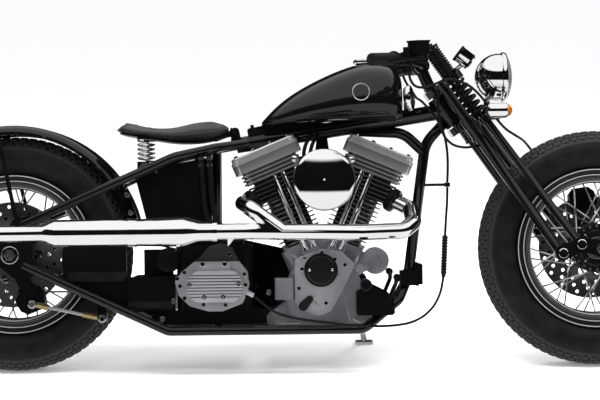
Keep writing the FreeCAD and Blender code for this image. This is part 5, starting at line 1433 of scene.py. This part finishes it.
# %% [markdown]
# ## Bright acorns and breather hoses
# Beside the air cleaner a chrome acorn nut closes each head's bracket, and two short rubber hoses come
# down from under the tank. A hose is a stiff thing that takes one smooth bend, so a spline through four
# points carries a circle along it.

# %% Acorns and breather hoses
ACORN_PROFILE = ((-4, 9), (0, 9), (1, 11), (10, 11), (14, 8.5), (16, 4), (16.5, 0))
BOX_FACE = -62
on_rocker_boxes = node_finder("rocker_boxes")
acorns = Shape()
for x, z in ((781, 582), (937, 578)):
    spot, normal = on_rocker_boxes((x, -600, z), (0, 1, 0))
    acorns.lathe(ACORN_PROFILE, (x, spot.y if spot is not None else BOX_FACE, z), (0, -1, 0), 28)
make_piece("head_bracket_acorns", acorns, CHROME, "chassis")

BREATHER_RUN = np.array(((826, -30, 648), (812, -52, 622), (806, -58, 588), (818, -66, 560)), float)
hoses = Shape()
for shift in (0, 18):
    hoses.tube(spline(BREATHER_RUN + (shift, 0, 0), range(4), np.linspace(0, 3, 24)), 5.5, 12)
make_piece("breather_hoses", hoses, CABLE_COVER, "chassis")

# %% [markdown]
# ## Black panels and small boxes on the right
# Below the exhaust the photograph shows a plain black side panel with a folded lower edge, a smaller one by
# the battery tray, a round relay cover and the skirt of the gearbox's mounting plate. They are sheet metal,
# so each is one plate. The folds are plates of their own in the lighter grip rubber finish, a painted
# highlight for the light that each fold catches.

# %% Panels
PANEL_OUTLINE = ((141, 258), (141, 346), (316, 346), (316, 276), (310, 250))
LOWER_OUTLINE = ((141, 252), (316, 262), (316, 178), (304, 178))
TRAY_OUTLINE = ((316, 172), (316, 262), (447, 262), (447, 172))
SKIRT_OUTLINE = ((404, 128), (404, 168), (700, 168), (700, 128))
RELAY_PROFILE = ((0, 34), (30, 34), (36, 31), (38, 26), (38, 8), (41, 6), (41, 0))
panels = plate(rounded(PANEL_OUTLINE, 8), -103, -86.5, 3)
for outline, near, far in ((LOWER_OUTLINE, -97, -91),
                           (TRAY_OUTLINE, -104, -100.4),
                           (SKIRT_OUTLINE, -84, -66)):
    sheet = plate(rounded(outline, 6), near, far, 1.2)
    panels.add(sheet.points, sheet.faces)
panels.lathe(RELAY_PROFILE, (429, -62, 306), (0, -1, 0), 48)
make_piece("side_panels", panels, BLACK_SATIN, "chassis")

# Painted highlight: the folds wear the lighter grip rubber finish to show the light they catch.
fold_highlights = plate(rounded([(152, 251), (152, 277), (314, 277), (309, 250)], 4), -104.4, -102.6, 0.8)
sheet = plate(rounded([(320, 177), (320, 194), (443, 194), (443, 177)], 4), -105.2, -103.6, 0.7)
fold_highlights.add(sheet.points, sheet.faces)
make_piece("panel_fold_highlights", fold_highlights, GRIP_RUBBER, "chassis")

# %% [markdown]
# ## Wheel trim
# A rim is rolled from sheet, so its flange has beads and a turned lip, which one closed lathe profile
# gives. Each disc is held by five bolts, every hub carries the heads of its spokes, and a valve stem looks
# through the rim. These must turn with the wheel, so they ride on its body and not on the chassis.

# %% Wheel trim
RIM_EDGE = ((-46.4, 184), (-46.8, 197), (-45.4, 198.5), (-46.8, 200), (-47.2, 204), (-45.4, 205.5),
            (-47.6, 207), (-49.2, 214), (-49.8, 219.5), (-48.2, 221.5), (-44.5, 219), (-43, 184))
SPOKE_HEAD_REACH = 61
DISC_BOLT_REACH = 45


def circle_places(x, z, reach, count):
    """Places seen from the side that lie evenly on a circle."""
    return [(x + reach * math.cos(angle), z + reach * math.sin(angle)) for angle in angles(count)]


for end, centre, finish in (("front", WHEEL_BASE, FRONT_WHEEL_METAL), ("rear", 0.0, REAR_WHEEL_METAL)):
    flange = Shape()
    for side in (-1, 1):
        flange.lathe([(-across, radius) for across, radius in RIM_EDGE], (centre, 0, WHEEL_RADIUS),
                     (0, side, 0), 160, closed=True)
    make_piece(end + "_rim_flanges", flange, finish, end + "_wheel")
    heads = Shape()
    for side in (-1, 1):
        spoke_places = circle_places(centre, WHEEL_RADIUS, SPOKE_HEAD_REACH, 20)
        screws(heads, cap_screw, end + "_wheel", spoke_places, side, 3.2, 2.2)
        disc_places = circle_places(centre, WHEEL_RADIUS, DISC_BOLT_REACH, 5)
        screws(heads, hex_head, end + "_disc", disc_places, side, 6.0, 5.0)
    heads.tube([(centre + 150, 0, WHEEL_RADIUS + 130), (centre + 136, 0, WHEEL_RADIUS + 118)], 4.0, 12)
    make_piece(end + "_wheel_fasteners", heads, ZINC, end + "_wheel")

# %% [markdown]
# ## Rings on the rocker pins
# The pins of the fork's rockers end in a thin chrome ring on each side. They steer with the fork.

# %% Rocker pin rings
PIN_RING_RADIUS = 12.4
on_rockers = node_finder("fork_rockers")
rings = Shape()
for x, z in ((1511, 315), (1561.6, 339)):
    for side in (-1, 1):
        spot, normal = on_rockers((x + 10, side * 400, z), (0, -side, 0))
        if spot is not None:
            circle = [(ring_x, spot.y + side * 0.8, ring_z)
                      for ring_x, ring_z in circle_places(x, z, PIN_RING_RADIUS, 40)]
            rings.tube(circle, 1.7, 8, closed=True)
make_piece("rocker_pin_rings", rings, CHROME, "steering")

# %% [markdown]
# ## Brake stay and chassis bolts
# A stay rod holds the rear brake from turning. It is a steel rod between two brass barrels, with an eye
# at each end. A ring lies round the axle's end, and a few bolts hold the panels. The lathe and the tube
# make all of these, and the rod's two ends alone say where everything along it goes.

# %% Brake stay and bolts
STAY_Y = -102.0
STAY_START, STAY_END = Vector((57, STAY_Y, 190)), Vector((249, STAY_Y, 149))
EYE_PROFILE = ((-6, 11.5), (5, 11.5), (8, 8), (8, 5), (5, 4), (5, 0))
AXLE_FACE = -125.0
AXLE_RING = ((0, 21), (0, 24.5), (3, 24.5), (4.5, 22.5), (3, 21))
RIGHT = (0, -1, 0)


def stay_part(first, second):
    """The stretch of the stay between two shares of its length."""
    return [STAY_START.lerp(STAY_END, first), STAY_START.lerp(STAY_END, second)]


barrels = Shape().tube(stay_part(0.06, 0.235), 8.8, 6)
barrels.tube(stay_part(0.72, 0.93), 8.8, 6)
make_piece("brake_stay_barrels", barrels, BRASS, "chassis")
bolts = Shape().tube(stay_part(0.235, 0.72), 5.2, 14)
for spot in (STAY_START, STAY_END):
    bolts.lathe(EYE_PROFILE, spot + Vector((0, -6, 0)), RIGHT, 28)
bolts.lathe(AXLE_RING, (0, AXLE_FACE, WHEEL_RADIUS), RIGHT, 40, closed=True)
for x, y, z in ((318, -84, 487), (328, -84, 438), (413, -104.5, 146), (445, -104.5, 195), (705, -84, 215)):
    cap_screw(bolts, (x, y, z), RIGHT, 7.5, 6)
make_piece("chassis_bolts", bolts, ZINC, "chassis")

# %% [markdown]
# ## The instrument's face and bezel
# The small speedometer's can is a CAD node. Its face is a flat disc just inside the mouth, and a black
# bezel rolls over the rim, with a second thin ring at the can's back. They steer with the bars.

# %% Instrument
FACE_PROFILE = ((1.6, 0), (1.6, 18.6))
BEZEL_PROFILE = ((-4, 24.3), (1.4, 24.6), (3.2, 23), (3.2, 20), (1.2, 18.6), (-4, 18.6))
BACK_RING = ((-42, 23.3), (-38, 23.6), (-37, 23.3), (-38, 22.6))
dial_face = Shape().lathe(FACE_PROFILE, DIAL_PLACE, DIAL_FACING, 48)
make_piece("speedometer_face", dial_face, DIAL, "steering")
bezel = Shape()
for profile in (BEZEL_PROFILE, BACK_RING):
    bezel.lathe(profile, DIAL_PLACE, DIAL_FACING, 48, closed=True)
make_piece("speedometer_bezel", bezel, BLACK_SATIN, "steering")

# %% [markdown]
# ## Oil lines
# Two rubber oil lines run down beside the seat tube, side by side, and each has two steel clamps at its
# upper end. They take the same smooth run, one a little ahead of the other.

# %% Oil lines and their clamps
OIL_RUN = np.array(((524, -104, 592), (526, -108, 560), (530, -108, 500), (536, -106, 440),
                    (556, -100, 392)), float)
CLAMP_PROFILE = ((-4, 8.6), (4, 8.6), (4, 7.8), (-4, 7.8))
oil_lines, clamps = Shape(), Shape()
for shift in (0, 21):
    oil_lines.tube(spline(OIL_RUN + (shift, 0, 0), range(5), np.linspace(0, 4, 40)), 7.6, 14)
    for z in (584, 566):
        clamps.lathe(CLAMP_PROFILE, (525 + shift, -106.5, z), (0.05, -0.04, -1), 28, closed=True)
make_piece("oil_lines", oil_lines, CABLE_COVER, "chassis")
make_piece("oil_line_clamps", clamps, ZINC, "chassis")

# %% [markdown]
# ## The horn
# A small chrome horn looks forward past the neck on a black bracket. Its cover is a shallow dome from the
# lathe, set along its own axis.

# %% Horn and bracket
HORN_PROFILE = ((-12, 10), (-10, 30), (0, 36), (4, 36), (9, 34), (13, 24), (15, 10), (15.5, 0))
horn = Shape().lathe(HORN_PROFILE, (1098, -60, 746), (1, -0.25, 0.1), 56)
make_piece("horn_cover", horn, CHROME, "chassis")
bracket = Shape().tube([(1092, -12, 704), (1090, -34, 726), (1090, -56, 744)], 5, 10)
make_piece("horn_bracket", bracket, BLACK_SATIN, "chassis")

# %% [markdown]
# ## Screws of the primary cover
# The left side is out of sight in the photograph, but such covers are held by screws all round. They
# follow the cover's two round ends and its straight edges, and five more hold the clutch's round lid.

# %% Primary cover screws
CLUTCH_X, CLUTCH_Z = 560, 255
SPROCKET_X, SPROCKET_Z = 857, 218
BACK_REACH, FRONT_REACH, LID_REACH = 92, 64, 56
rim_places = [(650, 338), (760, 304), (650, 158), (760, 148)]
for angle in np.linspace(1.75, 4.55, 6):
    rim_places.append((CLUTCH_X + BACK_REACH * math.cos(angle), CLUTCH_Z + BACK_REACH * math.sin(angle)))
for angle in np.linspace(-1.4, 1.4, 5):
    rim_places.append((SPROCKET_X + FRONT_REACH * math.cos(angle),
                       SPROCKET_Z + FRONT_REACH * math.sin(angle)))
primary = Shape()
screws(primary, cap_screw, "primary_cover", rim_places, 1, 5.5, 4)
screws(primary, cap_screw, "primary_cover", circle_places(CLUTCH_X, CLUTCH_Z, LID_REACH, 5), 1, 5.0, 4)
make_piece("primary_cover_screws", primary, CHROME, "chassis")

# %% [markdown]
# ## The studio
# The machine stands on a plain pale floor that runs to the horizon. One large softbox hangs over it, one
# fills from the front and one lights its far edge. Mirror rays see neither the floor nor the lights, for a
# reason that comes next.


# %% Floor and lights
def studio_floor():
    """A pale sheet that runs to the horizon."""
    half = 60.0
    corners = [(-half, -half, 0), (half, -half, 0), (half, half, 0), (-half, half, 0)]
    mesh = bpy.data.meshes.new("studio floor")
    mesh.from_pydata(corners, [], [(0, 1, 2, 3)])
    floor = bpy.data.objects.new("studio floor", mesh)
    bpy.context.scene.collection.objects.link(floor)
    paper = Finish("pale floor", (0.9, 0.9, 0.905), 1.0, Emission_Color=(1.0, 1.0, 1.0, 1.0),
                   Emission_Strength=0.13, Specular_IOR_Level=0.0)
    grain = paper.noise(3.0, 4.0)
    paper.set("Base Color", paper.mix(grain, (0.89, 0.89, 0.895), (0.91, 0.91, 0.915)))
    mesh.materials.append(paper.material)
    floor.visible_glossy = False


def softbox(name, place, target, size, watts):
    """A rectangular light that mirror rays don't see."""
    light = bpy.data.lights.new(name, "AREA")
    light.shape = "RECTANGLE"
    light.size, light.size_y = size
    light.energy = watts
    lamp = bpy.data.objects.new(name, light)
    lamp.location = place
    aim = Vector(target) - Vector(place)
    lamp.rotation_euler = aim.to_track_quat("-Z", "Y").to_euler()
    lamp.visible_glossy = False
    bpy.context.scene.collection.objects.link(lamp)


studio_floor()
softbox("overhead softbox", (0.2, -0.9, 3.2), (0.0, 0.1, 0.4), (4.6, 1.1), 210)
softbox("front fill", (-2.6, -4.2, 2.2), (0.0, 0.0, 0.5), (2.4, 1.6), 40)
softbox("rim light", (2.8, 2.4, 2.4), (0.4, 0.0, 0.5), (2.0, 1.2), 60)

# %% [markdown]
# ## What the chrome reflects
# Chrome needs something dark to reflect, or it looks like white plastic. So mirror rays see a world with
# a broad dark band round eye level and light above and below it, while the eye itself sees a plain pale
# one. Black cards round the bike would do the same, but their edges would show.


# %% World
def studio_world():
    """Pale for the eye; for mirror rays, greys by height with a dark band round eye level."""
    world = bpy.data.worlds.new("studio")
    world.use_nodes = True
    nodes, links = world.node_tree.nodes, world.node_tree.links
    background = nodes["Background"]
    where = nodes.new("ShaderNodeTexCoord")
    split = nodes.new("ShaderNodeSeparateXYZ")
    band = nodes.new("ShaderNodeValToRGB")
    ramp(band, ((0.42, 0.9), (0.445, 0.004), (0.765, 0.004), (0.8, 0.98)))
    height = nodes.new("ShaderNodeMath")
    height.operation = "MULTIPLY_ADD"
    height.inputs[1].default_value = 0.5
    height.inputs[2].default_value = 0.5
    path = nodes.new("ShaderNodeLightPath")
    choose = nodes.new("ShaderNodeMix")
    choose.data_type = "RGBA"
    choose.inputs[6].default_value = (0.93, 0.93, 0.94, 1.0)
    links.new(where.outputs["Generated"], split.inputs[0])
    links.new(split.outputs["Z"], height.inputs[0])
    links.new(height.outputs[0], band.inputs["Fac"])
    links.new(band.outputs["Color"], choose.inputs[7])
    links.new(path.outputs["Is Glossy Ray"], choose.inputs[0])
    links.new(choose.outputs[2], background.inputs["Color"])
    background.inputs["Strength"].default_value = 1.0
    bpy.context.scene.world = world


studio_world()
bpy.context.scene.view_settings.view_transform = "Standard"
print("studio ready")

# %% [markdown]
# ## The camera
# The photograph was measured against the wheels: a long lens, five metres from the bike's side, level
# with its own plane and turned by about half a degree. The bike's matrix puts the camera there. Near and
# wide, the wheels would look bigger than they are, and the machine would seem a toy.

# %% Camera at the photograph's place
PICTURE_WIDTH = 600
FOCAL_PIXELS = 1785.7
CAMERA_PLACE = Vector((794.0, -5000.0, 468.0))
CAMERA_ROLL = 0.01127
SENSOR = 36.0
long_lens = bpy.data.cameras.new("long lens")
long_lens.sensor_width = SENSOR
long_lens.lens = FOCAL_PIXELS / PICTURE_WIDTH * SENSOR
camera = bpy.data.objects.new("camera", long_lens)
bpy.context.scene.collection.objects.link(camera)
facing = Matrix((AHEAD, UPRIGHT, -ACROSS)).transposed().to_4x4()
roll = Matrix.Rotation(-CAMERA_ROLL, 4, "Z")
camera.matrix_world = Matrix.Translation(BIKE @ CAMERA_PLACE) @ facing @ roll
bpy.context.scene.camera = camera
print("camera at", [round(value, 3) for value in camera.matrix_world.translation])
